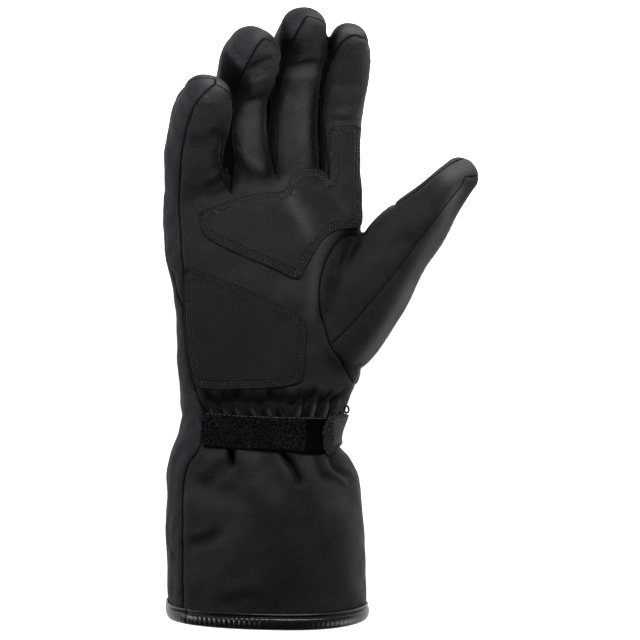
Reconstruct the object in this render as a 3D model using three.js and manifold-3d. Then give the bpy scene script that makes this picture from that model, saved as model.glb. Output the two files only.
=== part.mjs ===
// Motorcycle glove for the right hand, lying on its back with the palm up.
// Millimetres. Fingers point along +Y, the thumb towards +X, and z = 0 is the floor.
import * as THREE from 'three';
import { mergeVertices } from 'three/addons/utils/BufferGeometryUtils.js';
import Module from 'manifold-3d';

const wasm = await Module();
wasm.setup();

// Driving sizes
const wall = 3;
const seamGap = 0.3;
const patchThickness = 1.6;
const pileThickness = 1.6;
const strapThickness = 1.8;
const bindingThickness = 0.8;
const bindingHeight = 6.7;
const insideClear = 0.5;
const hemUnder = seamGap + bindingThickness;
const handCuffJoint = -59;
const knuckleJoint = 62;
const cuffEnd = -155.2;
const hemBow = 5.8;
const hemSlant = 2.4;
const bowStart = -95;
const backSag = 3;
const hemBowFalloff = 0.95;
const hemBowSideFalloff = 0.35;
const bowRise = 1.5;
const roundness = 2.4;
const fingerRoundness = 2.2;
const nearestRings = 1.7;
const tipTurns = [0.5, 1];
const liningTipTurns = [0.8];
const endFaceInset = 1;
const openPastHem = 30;
const patchLowest = 26;
const strapSplitHeight = 30;
const stripDrop = 7;
const strapLiftStart = -0.3;
const strapLiftEnd = 0.45;
const loopRadius = 1.6;
const loopCordRadius = 0.45;
const loopTurn = 0.75;
const loopPlace = [14.2, -47.8, 41];
const gatherStart = -0.2;
const gatherSharpness = 0.8;
const gatherEdgeFade = 2.5;

// Heights and distances past every part of the glove
const belowAll = -20;
const aboveAll = 120;
const farOut = 300;

// Sides of the rings, on the palm half and on the back half
const coarsePalmSides = 20;
const finePalmSides = 50;
const backSides = 10;
const liningPalmSides = 10;
const liningBackSides = 5;
const fingerSides = 12;
const thumbSides = 14;
const fingerLiningSides = 6;
const thumbLiningSides = 8;

const table = (columns, rows) =>
  rows.map((row) => Object.fromEntries(columns.map((name, i) => [name, row[i]])));

// Hand and cuff: the outline in plan, the height of the widest level, the top and the underside
const bodyRows = table(['y', 'left', 'right', 'middle', 'top', 'under', 'palmSides'], [
  [77, -79, 15, 21, 27, 13, coarsePalmSides],
  [71, -84, 21.4, 21, 34.5, 5, coarsePalmSides],
  [61, -85.3, 22.4, 22, 40.4, 0.8, coarsePalmSides],
  [48, -84.6, 22.4, 22, 44, 0, coarsePalmSides],
  [31, -82.2, 22.2, 23, 46.5, 0, coarsePalmSides],
  [11, -78.3, 21.8, 24, 48, 0, coarsePalmSides],
  [-11, -77.3, 21.6, 24, 48, 0, coarsePalmSides],
  [-27, -76.6, 21.3, 25, 48.5, 0.6, coarsePalmSides],
  [-34, -75.9, 19.8, 26, 49, 1.4, finePalmSides],
  [-39.5, -75, 17.2, 26.8, 50.3, 2.6, finePalmSides],
  [-45, -74.3, 15.2, 28, 52.3, 4.4, finePalmSides],
  [-50.5, -74.1, 13.7, 29, 54, 5.8, finePalmSides],
  [-58.5, -77, 11.8, 30, 56.5, 5.8, coarsePalmSides],
  [-67, -79.6, 10.8, 31, 59, 4.6, finePalmSides],
  [-73, -81, 15.8, 31, 60, 3.4, finePalmSides],
  [-81, -81.9, 19.6, 32, 61.9, 1.9, finePalmSides],
  [-92, -82.3, 21.8, 33, 63.8, hemUnder, coarsePalmSides],
  [-118, -82.4, 24.3, 34.4, 67, hemUnder, coarsePalmSides],
  [cuffEnd + bindingHeight, -81.2, 24.7, 35.4, 69.7, hemUnder, coarsePalmSides],
  [cuffEnd, -80.4, 24.2, 35.5, 70, hemUnder, coarsePalmSides],
]);

const fingerColumns = ['x', 'y', 'z', 'halfWidth', 'halfDepth'];
const littleFinger = table(fingerColumns, [
  [-66.5, 44, 21, 15.5, 13],
  [-67.2, 71, 22, 17.2, 13.5],
  [-67.4, 84, 26.4, 16.9, 13.9],
  [-66.3, 97, 34.5, 16.2, 14.3],
  [-64, 106, 42, 16.2, 14.5],
  [-61.6, 113, 50, 15.4, 14],
  [-60.2, 118, 57, 13.6, 12.6],
]);
const ringFinger = table(fingerColumns, [
  [-36, 44, 19, 13.2, 12.5],
  [-36.8, 71, 20, 12.8, 13],
  [-37.6, 83, 20.5, 11.9, 13],
  [-39.6, 97, 23.6, 10.6, 13],
  [-40.9, 111, 28.5, 11.5, 13.1],
  [-40.9, 121, 32.5, 13.6, 13.6],
  [-40, 129, 38.5, 15.9, 14],
  [-37.4, 137, 47, 16.3, 13.8],
  [-34.6, 143, 53.5, 14.2, 12.4],
]);
const middleFinger = table(fingerColumns, [
  [-12.3, 44, 19, 13.2, 12.5],
  [-12.5, 71, 20, 13, 13],
  [-12.9, 83, 20.2, 12.8, 13],
  [-14.4, 95, 21.3, 13.4, 13],
  [-14.9, 111, 23.5, 13.4, 13],
  [-14.1, 126, 27.2, 13.5, 13.2],
  [-12.6, 137, 31.5, 13.8, 13.5],
  [-10.8, 147, 37.5, 15.2, 13.3],
  [-9.2, 155.4, 45, 12.8, 11.8],
]);
const indexFinger = table(fingerColumns, [
  [12, 44, 19, 10.6, 12.5],
  [11.6, 68, 20, 10.8, 13],
  [10.9, 88, 20.9, 10.7, 13],
  [11.2, 108, 22.9, 11.7, 13],
  [12.4, 121, 25.3, 12.5, 13],
  [14, 132, 28.8, 12.8, 13],
  [15.2, 141, 33, 12, 12.6],
  [15.3, 147.6, 37.5, 10.6, 11.8],
]);
const thumb = table(fingerColumns, [
  [-4, -21, 25, 15, 18],
  [9, -8, 26, 22.4, 21],
  [25.7, 15.4, 28, 22.3, 20],
  [33.6, 27.5, 29, 21, 18],
  [41.6, 39.2, 30, 19.4, 16.2],
  [51.4, 50.6, 31.5, 16.6, 14.4],
  [60.7, 61.8, 33, 13.9, 12.6],
  [69.2, 70.8, 35, 11.9, 11],
  [75.8, 77.6, 36.5, 10.4, 9.6],
]);

// Cross folds on the palm side of a finger: the place along it, the depth and half the width
const foldColumns = ['y', 'depth', 'halfWidth'];
const littleFolds = table(foldColumns, [
  [97, 1.3, 3],
]);
const ringFolds = table(foldColumns, [
  [117.5, 1.2, 2.5],
  [135, 1.6, 2.5],
]);
const middleFolds = table(foldColumns, [
  [135.5, 1.6, 2.5],
]);
const indexFolds = table(foldColumns, [
  [105.5, 0.9, 3],
  [126, 1.2, 2.5],
]);
const thumbFolds = table(foldColumns, [
  [45, 0.8, 3],
]);

// Gathers and pleats on the palm side of the wrist, each from its upper to its lower end
const gathers = table(['xTop', 'yTop', 'xEnd', 'yEnd', 'height', 'halfWidth'], [
  [-59, -39, -56.4, -53, 1.5, 1.9],
  [-52, -38, -48.9, -53, 1.6, 1.9],
  [-45, -37.5, -42, -53, 1.6, 2],
  [-35.5, -37.5, -33, -53, 1.6, 2.2],
  [-26.5, -37, -25, -53, 1.7, 2.3],
  [-17.5, -37.5, -17.5, -53, 1.3, 2],
  [-8, -35, -11, -53, 1.6, 2.2],
  [1.5, -32, -4, -53, 1.7, 2.2],
  [8, -32, 3.5, -53, 1.7, 2],
  [12, -36, 9.4, -53, 1.5, 1.6],
  [-47, -64, -47, -77, -1.6, 1.6],
  [-20, -64, -10.5, -85, -1.5, 2],
  [0.5, -64, 12, -86, 1.6, 2],
]);

// Plan-view seams, each from the wrist side to the finger side
const arcSeam = [[18.5, -34.4], [11, -22], [5.6, -13.4], [1, 1], [-0.3, 12], [1, 24.5],
  [5.4, 36], [12.6, 44], [23.4, 46.7]];
const thumbCentreSeam = [[5.6, -13.4], [17.5, -1.6], [42.2, 27.9], [59.3, 51], [75.4, 71.4],
  [77.6, 76.3]];
const thumbUpperSeam = [[23.4, 46.7], [27.1, 51], [43.2, 64], [62.6, 78.6], [69, 83.2]];
const sideSeam = [[-62.8, -59], [-62, -50.5], [-64.7, -43], [-67.9, -33.8], [-69.5, -25.2],
  [-71.3, -16], [-72.4, -4], [-73, 8.1], [-73, 21.5], [-73.8, 33.8], [-75.2, 45.6], [-76, 57.5]];
const cuffSideSeam = [[-62.8, -59], [-63.2, -64], [-65.2, -69.8], [-69.5, -76.3], [-72.2, -84.8],
  [-73.3, -95], [-72.8, -117], [-73.8, -190]];
const littleSeam = [[-76, 57.5], [-75.7, 69.8], [-74.4, 83.2], [-72.8, 94], [-69.5, 105.8],
  [-65.2, 114.4], [-59.9, 120.8], [-55, 125.1], [-49.7, 126.7]];
const ringSeam = [[-47.5, 57], [-47.5, 71.4], [-47.8, 85.9], [-47.5, 99.3], [-46.2, 112.8],
  [-42.7, 126.2], [-37.3, 136.9], [-33, 145], [-29.3, 149.3], [-23.4, 152.5]];
const middleSeam = [[-23.5, 57], [-22.8, 79.5], [-23.1, 96.7], [-22.8, 112.8], [-21.7, 123.5],
  [-19.6, 134.2], [-15.8, 145], [-10.5, 155.7], [-6.2, 162.2], [0.3, 164.3]];
const indexSeam = [[5.1, 57], [5.1, 73.6], [3, 91.3], [1.3, 107.4], [1.9, 120.8], [4, 131.6],
  [6.7, 139.6], [11, 147.7], [16.4, 151.4], [23.9, 150.9]];

// Plan outlines of the panels, closed outside the glove or inside the gaps between the fingers
const palmOutline = [...sideSeam, [-76, 66], [40, 66], [40, 46.7], ...[...arcSeam].reverse(),
  [40, -34.4], [40, -59]];
const littleOutline = [...littleSeam, [-43, 126], [-44.5, 108], [-50, 90], [-48.8, 72], [-47, 57]];
const ringOutline = [...ringSeam, [-18, 150], [-18.5, 137], [-22.5, 130], [-27.5, 110],
  [-27.8, 95], [-25, 81], [-23, 57]];
const middleOutline = [...middleSeam, [4.6, 163], [4.6, 142], [1.1, 132], [-0.5, 120],
  [-0.9, 100], [0.3, 78], [5.6, 57]];
const indexOutline = [...indexSeam, [36, 150], [36, 57]];
const thumbInnerOutline = [...arcSeam.slice(2), ...thumbUpperSeam.slice(1), [80, 80.5],
  ...[...thumbCentreSeam].reverse().slice(0, -1)];
const thumbOuterOutline = [...thumbCentreSeam, [92, 78], [92, -34.4], ...arcSeam.slice(0, 2)];
const thumbBackOutline = [[19, -34.4], [19, -60], [130, -60], [130, 130], [60, 110], [34, 75],
  [24.6, 58], [22.8, 46.7]];
const stripOutline = [[-73.3, 5.9], [-77.1, 15.6], [-79.2, 25.8], [-81.9, 33.8], [-83.5, 45.1],
  [-84.6, 56.9], [-92, 62], [-95, 124], [-66, 122], ...[...littleSeam].slice(0, 6).reverse(),
  ...[...sideSeam].slice(7).reverse()];
const cuffOutline = [...cuffSideSeam, [60, -190], [60, -59]];

// Plan outlines of what is sewn on the palm side
const palmPatchOutline = [[-64.2, 57.6], [-60, 59.2], [-46.5, 64.4], [-34, 67.2], [-25, 68.4],
  [-19.5, 68.6], [-16.5, 74.5], [-12.5, 80], [-5, 81.4], [1, 80.4], [4.8, 76.8], [6.4, 73.4],
  [6.2, 82], [5.9, 92], [6.6, 101.5], [25.2, 101.5], [25.2, 52.5], [20.6, 49.6], [14.2, 48.6],
  [8.5, 47.6], [3, 44.2], [-2, 38], [-7.8, 27.5], [-10.8, 22], [-15, 22.4], [-22, 26],
  [-36, 31.8], [-50, 38], [-58.5, 42.6], [-62.4, 46.4], [-64, 51.5]];
const heelPatchOutline = [[-72.3, 28], [-69, 27.4], [-50.2, 20.9], [-36.2, 15.2], [-18.5, 6.6],
  [-11, 2.2], [-7.8, -2.6], [-7.2, -9], [-8, -22], [-9, -31.4], [-12, -34], [-22.3, -36],
  [-39.5, -37], [-64.6, -36.6], [-67.4, -33], [-70.4, -18], [-72.2, 0]];
const pileOutline = [[-61.4, -49.4], [-36, -50.8], [8, -52], [8, -71], [1.9, -71.6], [-6.8, -71.4],
  [-20, -68.9], [-46, -68], [-61.4, -63.6]];
const tabOutline = [[1.6, -52.2], [8.6, -50.6], [40, -50.2], [40, -68.4], [8.6, -69],
  [5.8, -73.4], [2.4, -72.4], [3.6, -66], [2, -58]];
const strapBackOutline = [[-20, -50.8], [40, -50.2], [40, -68.4], [-20, -67.8]];

// Piecewise-cubic value of one column of a table whose y falls from row to row
function sample(rows, y, column) {
  let i = rows.findIndex((row, index) => index > 0 && row.y <= y);
  if (i < 0) i = rows.length - 1;
  const [start, end] = [rows[i - 1], rows[i]];
  const slope = (low, high) => (rows[high][column] - rows[low][column]) / (rows[high].y - rows[low].y);
  const slopeStart = slope(Math.max(0, i - 2), i);
  const slopeEnd = slope(i - 1, Math.min(rows.length - 1, i + 1));
  const span = end.y - start.y;
  const t = THREE.MathUtils.clamp((y - start.y) / span, 0, 1);
  return start[column] * (1 + 2 * t) * (1 - t) ** 2 + slopeStart * span * t * (1 - t) ** 2
    + end[column] * t * t * (3 - 2 * t) + slopeEnd * span * t * t * (t - 1);
}

const soften = (value, exponent) => Math.sign(value) * Math.abs(value) ** (2 / exponent);

// Height that the gathers and pleats add at a point of the palm side
function gatherHeight(x, y) {
  return gathers.reduce((sum, fold) => {
    const t = (y - fold.yTop) / (fold.yEnd - fold.yTop);
    if (t < gatherStart || t > 1) return sum;
    const centre = THREE.MathUtils.lerp(fold.xTop, fold.xEnd, t);
    const fade = Math.sin(Math.PI * (t - gatherStart) / (1 - gatherStart)) ** gatherSharpness;
    return sum + fold.height * fade * Math.exp(-(((x - centre) / fold.halfWidth) ** 2));
  }, 0);
}

// One point of the hand and cuff surface, moved out by offset
function bodyPoint(angle, y, offset, folded) {
  const value = (column) => sample(bodyRows, y, column);
  const [left, right, middle, top, under] = ['left', 'right', 'middle', 'top', 'under'].map(value);
  const across = soften(Math.cos(angle), roundness);
  const up = soften(Math.sin(angle), roundness);
  const x = (left + right) / 2 + ((right - left) / 2 + offset) * across;
  const reach = up > 0 ? top - middle + offset : middle - under + backSag + offset;
  let z = Math.max(middle + reach * up, under - offset);
  if (folded && up > 0) z += gatherHeight(x, y) * Math.min(1, gatherEdgeFade * up);
  const ramp = Math.max(0, (bowStart - y) / (bowStart - cuffEnd)) ** bowRise;
  const bow = hemBow * Math.max(0, up) ** (hemBowFalloff + hemBowSideFalloff * across);
  const slant = hemSlant * (1 + across) / 2;
  return new THREE.Vector3(x, y - ramp * (bow + slant), z);
}

function ringAngles(palmSides, underSides) {
  const palm = Array.from({ length: palmSides }, (_, i) => Math.PI * i / palmSides);
  const under = Array.from({ length: underSides }, (_, i) => Math.PI * (1 + i / underSides));
  return [...palm, ...under];
}

// Closes a row of rings into one solid: each ring is a list of angle and point, and each end is a point
function solidFromRings(rings, startPoint, endPoint) {
  const corners = [];
  const face = (...points) => corners.push(...points);
  const fan = (ring, tip, flip) => ring.forEach((corner, i) => {
    const next = ring[(i + 1) % ring.length].point;
    face(tip, ...(flip ? [next, corner.point] : [corner.point, next]));
  });
  fan(rings[0], startPoint, false);
  fan(rings[rings.length - 1], endPoint, true);
  for (let r = 0; r + 1 < rings.length; r++) {
    const [low, high] = [rings[r], rings[r + 1]];
    const angleOf = (ring, i) => (i < ring.length ? ring[i].angle : ring[0].angle + 2 * Math.PI);
    let i = 0;
    let j = 0;
    while (i < low.length || j < high.length) {
      const [a, b] = [low[i % low.length].point, high[j % high.length].point];
      const stepLow = j >= high.length
        || (i < low.length && angleOf(low, i + 1) <= angleOf(high, j + 1) + 1e-9);
      if (stepLow) {
        face(a, b, low[(i + 1) % low.length].point);
        i += 1;
      } else {
        face(a, b, high[(j + 1) % high.length].point);
        j += 1;
      }
    }
  }
  return solidFromCorners(corners);
}

// A closed three.js geometry as a manifold-3d solid
function solid(geometry) {
  const bare = geometry.clone();
  bare.deleteAttribute('normal');
  bare.deleteAttribute('uv');
  const merged = mergeVertices(bare, 1e-4);
  return new wasm.Manifold(new wasm.Mesh({
    numProp: 3,
    vertProperties: merged.attributes.position.array,
    triVerts: new Uint32Array(merged.index.array),
  }));
}

// Triangles, three corners each, as a solid that faces out
function solidFromCorners(corners) {
  const made = solid(new THREE.BufferGeometry().setFromPoints(corners));
  if (made.volume() > 0) return made;
  for (let c = 0; c < corners.length; c += 3) {
    [corners[c], corners[c + 1]] = [corners[c + 1], corners[c]];
  }
  return solid(new THREE.BufferGeometry().setFromPoints(corners));
}

// Hand and cuff as one solid, from the knuckles to an end past the hem
function bodySolid(offsetAt, { lining = false, end = cuffEnd } = {}) {
  const rows = lining ? bodyRows.filter((row, i) => i % 2 === 0 || row.y < bowStart) : bodyRows;
  const rings = rows.map((row, i) => {
    const coarse = lining && row.y >= bowStart;
    const sides = coarse ? [liningPalmSides, liningBackSides] : [row.palmSides, backSides];
    const y = lining && i === 0 ? row.y - wall : row.y;
    return ringAngles(...sides).map((angle) => ({
      angle,
      point: bodyPoint(angle, y, offsetAt(angle), !lining),
    }));
  });
  const last = rings[rings.length - 1];
  if (end < cuffEnd) {
    const past = end - cuffEnd;
    rings.push(last.map(({ angle, point }) => ({ angle, point: point.clone().setY(point.y + past) })));
  } else {
    const inset = -wall - endFaceInset;
    rings.push(last.map(({ angle }) => ({ angle, point: bodyPoint(angle, cuffEnd, inset, false) })));
  }
  const centreOf = (ring) => ring
    .reduce((sum, corner) => sum.add(corner.point), new THREE.Vector3())
    .divideScalar(ring.length);
  return solidFromRings(rings, centreOf(rings[0]), centreOf(rings[rings.length - 1]));
}

// A finger or the thumb as one solid with a round tip
function fingerSolid(rows, folds, sides, offset, folded) {
  const stations = rows.filter((row, i) => folded || i % 2 === 0 || i === rows.length - 1);
  if (folded) {
    for (const fold of folds) {
      const next = stations.findIndex((row) => row.y > fold.y);
      const [low, high] = [stations[next - 1], stations[next]];
      const t = (fold.y - low.y) / (high.y - low.y);
      if (Math.min(t, 1 - t) * (high.y - low.y) < nearestRings) continue;
      const between = fingerColumns.map((name) => [name, THREE.MathUtils.lerp(low[name], high[name], t)]);
      stations.splice(next, 0, Object.fromEntries(between));
    }
  }
  const centres = stations.map((row) => new THREE.Vector3(row.x, row.y, row.z));
  const heading = (i) => centres[Math.min(i + 1, centres.length - 1)].clone()
    .sub(centres[Math.max(i - 1, 0)]).normalize();
  const ringAt = (centre, along, halfWidth, halfDepth, dent) => {
    const side = new THREE.Vector3().crossVectors(along, new THREE.Vector3(0, 0, 1)).normalize();
    const up = new THREE.Vector3().crossVectors(side, along);
    return Array.from({ length: sides }, (_, k) => {
      const angle = 2 * Math.PI * k / sides;
      const rise = soften(Math.sin(angle), fingerRoundness);
      const depth = halfDepth * rise - (rise > 0 ? dent * rise : 0);
      const point = centre.clone()
        .addScaledVector(side, halfWidth * soften(Math.cos(angle), fingerRoundness))
        .addScaledVector(up, depth);
      return { angle, point };
    });
  };
  const rings = stations.map((row, i) => {
    const dent = folded ? folds.reduce((sum, fold) =>
      sum + fold.depth * Math.exp(-2 * ((row.y - fold.y) / fold.halfWidth) ** 2), 0) : 0;
    return ringAt(centres[i], heading(i), row.halfWidth + offset, row.halfDepth + offset, dent);
  });
  const last = stations[stations.length - 1];
  const along = heading(centres.length - 1);
  const tipLength = last.halfDepth + offset;
  const tipAt = (turn) => centres[centres.length - 1].clone()
    .addScaledVector(along, tipLength * Math.sin(turn));
  for (const turn of offset < 0 ? liningTipTurns : tipTurns) {
    const shrink = Math.cos(turn);
    rings.push(ringAt(tipAt(turn), along, (last.halfWidth + offset) * shrink, tipLength * shrink, 0));
  }
  return solidFromRings(rings, centres[0], tipAt(Math.PI / 2));
}

const digits = [
  [littleFinger, littleFolds],
  [ringFinger, ringFolds],
  [middleFinger, middleFolds],
  [indexFinger, indexFolds],
];

// The whole glove surface moved out by offset
function gloveSolid(offset) {
  const pieces = [
    bodySolid(() => offset),
    fingerSolid(thumb, thumbFolds, thumbSides, offset, true),
    ...digits.map(([rows, folds]) => fingerSolid(rows, folds, fingerSides, offset, true)),
  ];
  return pieces.reduce((sum, piece) => sum.add(piece));
}

// The hollow inside, open past the hem
function hollowSolid() {
  const pieces = [
    bodySolid(() => -wall, { lining: true, end: cuffEnd - openPastHem }),
    fingerSolid(thumb, [], thumbLiningSides, -wall, false),
    ...digits.map(([rows]) => fingerSolid(rows, [], fingerLiningSides, -wall, false)),
  ];
  return pieces.reduce((sum, piece) => sum.add(piece));
}

// A plan outline with every side moved outwards by amount
function grow(outline, amount) {
  const points = outline.map(([x, y]) => new THREE.Vector2(x, y));
  const turn = Math.sign(THREE.ShapeUtils.area(points));
  return points.map((point, i) => {
    const into = point.clone().sub(points[(i + points.length - 1) % points.length]).normalize();
    const out = points[(i + 1) % points.length].clone().sub(point).normalize();
    const normal = new THREE.Vector2(into.y + out.y, -into.x - out.x).normalize();
    const reach = turn * amount / Math.max(0.5, normal.dot(new THREE.Vector2(into.y, -into.x)));
    return point.clone().addScaledVector(normal, reach);
  });
}

// Everything above and below a plan outline
function prism(outline, growth, low = belowAll, high = aboveAll) {
  const geometry = new THREE.ExtrudeGeometry(new THREE.Shape(grow(outline, growth)), {
    depth: high - low,
    bevelEnabled: false,
  });
  return solid(geometry.translate(0, 0, low));
}

// Everything above a line of [distance, height] points, which runs along a heading in plan
function above(line, growth, along = new THREE.Vector3(0, 1, 0)) {
  const shape = new THREE.Shape([
    ...line.map(([s, z]) => new THREE.Vector2(s, z - growth)),
    new THREE.Vector2(line[line.length - 1][0], farOut),
    new THREE.Vector2(line[0][0], farOut),
  ]);
  const geometry = new THREE.ExtrudeGeometry(shape, { depth: 2 * farOut, bevelEnabled: false });
  const up = new THREE.Vector3(0, 0, 1);
  const side = new THREE.Vector3().crossVectors(along, up);
  geometry.translate(0, 0, -farOut).applyMatrix4(new THREE.Matrix4().makeBasis(along, up, side));
  return solid(geometry);
}

// Panel boundary heights along the hand, the cuff, each finger and the thumb
const palmLine = [[-200, 30], [-59, 30], [-43, 27], [-32, 25], [11, 24], [48, 22], [120, 20]];
const cuffLine = [[-250, 33], [-93, 32], [-59, 30], [20, 30]];
const fingerLine = (rows) => {
  const last = rows[rows.length - 1];
  const middles = rows.filter((row, i) => i % 2 === 1).map((row) => [row.y, row.z]);
  return [[0, 20], ...middles, [last.y + 8, last.z + 11], [last.y + 60, last.z + 84]];
};
const thumbHeading = new THREE.Vector3(0.664, 0.748, 0).normalize();
const thumbLine = [
  [-90, 25],
  ...thumb.map((row) => [row.x * thumbHeading.x + row.y * thumbHeading.y, row.z]),
  [160, 40],
];

function palmCutter(growth) {
  const zones = [
    [palmOutline, palmLine],
    [littleOutline, fingerLine(littleFinger)],
    [ringOutline, fingerLine(ringFinger)],
    [middleOutline, fingerLine(middleFinger)],
    [indexOutline, fingerLine(indexFinger)],
  ];
  return zones
    .map(([outline, line]) => prism(outline, growth).intersect(above(line, growth)))
    .reduce((sum, zone) => sum.add(zone));
}
const thumbCutter = (outline, growth) => prism(outline, growth)
  .intersect(above(thumbLine, growth, thumbHeading));
const stripCutter = (growth) => prism(stripOutline, growth)
  .intersect(above(fingerLine(littleFinger).map(([s, z]) => [s, z - stripDrop]), growth));
const cuffCutter = (growth) => prism(cuffOutline, growth).intersect(above(cuffLine, growth));

// Everything between two distances along the glove, half a seam gap short of each
function between(low, high) {
  return prism([[-farOut, low], [farOut, low], [farOut, high], [-farOut, high]], -seamGap / 2);
}

// The largest body of a solid, without the slivers that a cut leaves
function main(made) {
  const bodies = made.decompose();
  return bodies.reduce((best, body) => (body.volume() > best.volume() ? body : best));
}

// Sewn-on layer between two offsets, inside a plan outline and above a height
function layer(outline, inner, outer, lowest) {
  const zone = prism(outline, 0, lowest);
  return gloveSolid(outer).intersect(zone).subtract(gloveSolid(inner));
}

const hollow = hollowSolid();
const shell = gloveSolid(0).subtract(hollow);
const hand = shell.intersect(between(handCuffJoint, farOut));
const cuff = shell.intersect(between(-farOut, handCuffJoint));
const half = seamGap / 2;
const handRest = hand
  .subtract(palmCutter(half))
  .subtract(thumbCutter(thumbInnerOutline, half))
  .subtract(thumbCutter(thumbOuterOutline, half))
  .subtract(stripCutter(half));

// The hem binding is a folded strip, so its section is a U round the edge of the cuff
function bindingSolid() {
  const outside = seamGap + bindingThickness;
  const inside = -wall - insideClear - bindingThickness;
  const profile = [
    [seamGap, bindingHeight], [outside, bindingHeight], [outside, -outside], [inside, -outside],
    [inside, bindingHeight], [-wall - insideClear, bindingHeight],
    [-wall - insideClear, -seamGap], [seamGap, -seamGap],
  ];
  const angles = ringAngles(coarsePalmSides, backSides);
  const corners = [];
  const at = (i, k) => {
    const [offset, rise] = profile[k % profile.length];
    return bodyPoint(angles[i % angles.length], cuffEnd + rise, offset, false);
  };
  for (let i = 0; i < angles.length; i++) {
    for (let k = 0; k < profile.length; k++) {
      corners.push(at(i, k), at(i + 1, k), at(i + 1, k + 1));
      corners.push(at(i, k), at(i + 1, k + 1), at(i, k + 1));
    }
  }
  return solidFromCorners(corners);
}

// The strap lies on the pile strip in front and on the cuff at the thumb side and behind
function strapSolid() {
  const overPile = seamGap + pileThickness + seamGap;
  const settled = (turn) => THREE.MathUtils.smoothstep(turn, strapLiftStart, strapLiftEnd);
  const lift = (angle) => {
    const turn = angle > Math.PI ? angle - 2 * Math.PI : angle;
    return THREE.MathUtils.lerp(seamGap, overPile, settled(turn));
  };
  const band = bodySolid((angle) => lift(angle) + strapThickness).subtract(bodySolid(lift));
  const front = prism(tabOutline, 0, strapSplitHeight);
  const behind = prism(strapBackOutline, 0, belowAll, strapSplitHeight + 0.01);
  return band.intersect(front.add(behind));
}

function loopSolid() {
  const ring = new THREE.TorusGeometry(loopRadius, loopCordRadius, 5, 10);
  ring.rotateY(loopTurn).translate(...loopPlace);
  return solid(ring);
}

const fabric = { color: 0x1d1e20, roughness: 0.9, metalness: 0 };
const sideFabric = { color: 0x22252a, roughness: 0.85, metalness: 0 };
const patchFabric = { color: 0x191a1b, roughness: 0.95, metalness: 0 };
const leatherette = { color: 0x141414, roughness: 0.4, metalness: 0 };
const pile = { color: 0x17171a, roughness: 1, metalness: 0 };
const webbing = { color: 0x111112, roughness: 0.7, metalness: 0 };

const glove = new THREE.Group();
function addPiece(name, made, look) {
  const { numProp, numVert, vertProperties, triVerts } = main(made).getMesh();
  const positions = new Float32Array(numVert * 3);
  for (let i = 0; i < numVert; i++) {
    positions.set(vertProperties.subarray(i * numProp, i * numProp + 3), i * 3);
  }
  const geometry = new THREE.BufferGeometry();
  geometry.setAttribute('position', new THREE.BufferAttribute(positions, 3));
  geometry.setIndex(new THREE.BufferAttribute(triVerts, 1));
  geometry.computeVertexNormals();
  const mesh = new THREE.Mesh(geometry, new THREE.MeshStandardMaterial(look));
  mesh.name = name;
  glove.add(mesh);
}

addPiece('palm_panel', hand.intersect(palmCutter(-half)), fabric);
const back = handRest.subtract(prism(thumbBackOutline, half));
addPiece('back_panel', back.intersect(between(-farOut, knuckleJoint)), sideFabric);
addPiece('finger_back_panel', back.intersect(between(knuckleJoint, farOut)), sideFabric);
addPiece('little_finger_side_panel',
  hand.intersect(stripCutter(-half)).subtract(palmCutter(half)), sideFabric);
addPiece('thumb_inner_panel', hand.intersect(thumbCutter(thumbInnerOutline, -half)), fabric);
addPiece('thumb_outer_panel', hand.intersect(thumbCutter(thumbOuterOutline, -half)), fabric);
addPiece('thumb_back_panel', handRest.intersect(prism(thumbBackOutline, -half)), sideFabric);
addPiece('cuff_palm_panel', cuff.intersect(cuffCutter(-half)), fabric);
addPiece('cuff_back_panel', cuff.subtract(cuffCutter(half)), sideFabric);
addPiece('hem_binding', bindingSolid(), leatherette);
addPiece('palm_patch', layer(palmPatchOutline, seamGap, seamGap + patchThickness, patchLowest), patchFabric);
addPiece('heel_patch', layer(heelPatchOutline, seamGap, seamGap + patchThickness, patchLowest), patchFabric);
addPiece('pile_strip', layer(pileOutline, seamGap, seamGap + pileThickness, strapSplitHeight), pile);
addPiece('closure_strap', strapSolid(), webbing);
addPiece('strap_loop', loopSolid(), webbing);

// The origin is under the middle of the glove's box, on the floor
const bounds = new THREE.Box3().setFromObject(glove);
const centre = bounds.getCenter(new THREE.Vector3());
glove.position.set(-centre.x, -centre.y, -bounds.min.z);

export default glove;
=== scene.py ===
import math
import time

import bpy
import numpy as np
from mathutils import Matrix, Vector
from mathutils.bvhtree import BVHTree


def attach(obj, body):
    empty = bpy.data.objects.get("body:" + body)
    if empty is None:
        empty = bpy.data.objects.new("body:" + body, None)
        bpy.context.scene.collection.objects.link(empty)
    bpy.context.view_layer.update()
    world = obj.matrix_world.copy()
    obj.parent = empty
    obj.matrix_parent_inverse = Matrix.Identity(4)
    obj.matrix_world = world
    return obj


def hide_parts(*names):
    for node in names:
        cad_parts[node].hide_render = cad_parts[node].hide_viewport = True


startTime = time.time()
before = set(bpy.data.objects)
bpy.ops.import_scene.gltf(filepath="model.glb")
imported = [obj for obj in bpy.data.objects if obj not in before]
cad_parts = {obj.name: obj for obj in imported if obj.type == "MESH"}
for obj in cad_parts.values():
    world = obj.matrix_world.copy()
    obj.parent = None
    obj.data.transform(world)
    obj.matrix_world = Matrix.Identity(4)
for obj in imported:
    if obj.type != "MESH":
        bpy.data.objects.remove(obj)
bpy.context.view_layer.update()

# Shapes are worked out in millimetres about the table's own origin and moved into the frame at the end
originShift = np.array([0.108, 1.676, 0.0])


def report(words):
    print(f"{time.time() - startTime:6.1f} s  {words}")


def placed(name, data):
    thing = bpy.data.objects.new(name, data)
    bpy.context.scene.collection.objects.link(thing)
    return thing


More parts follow.
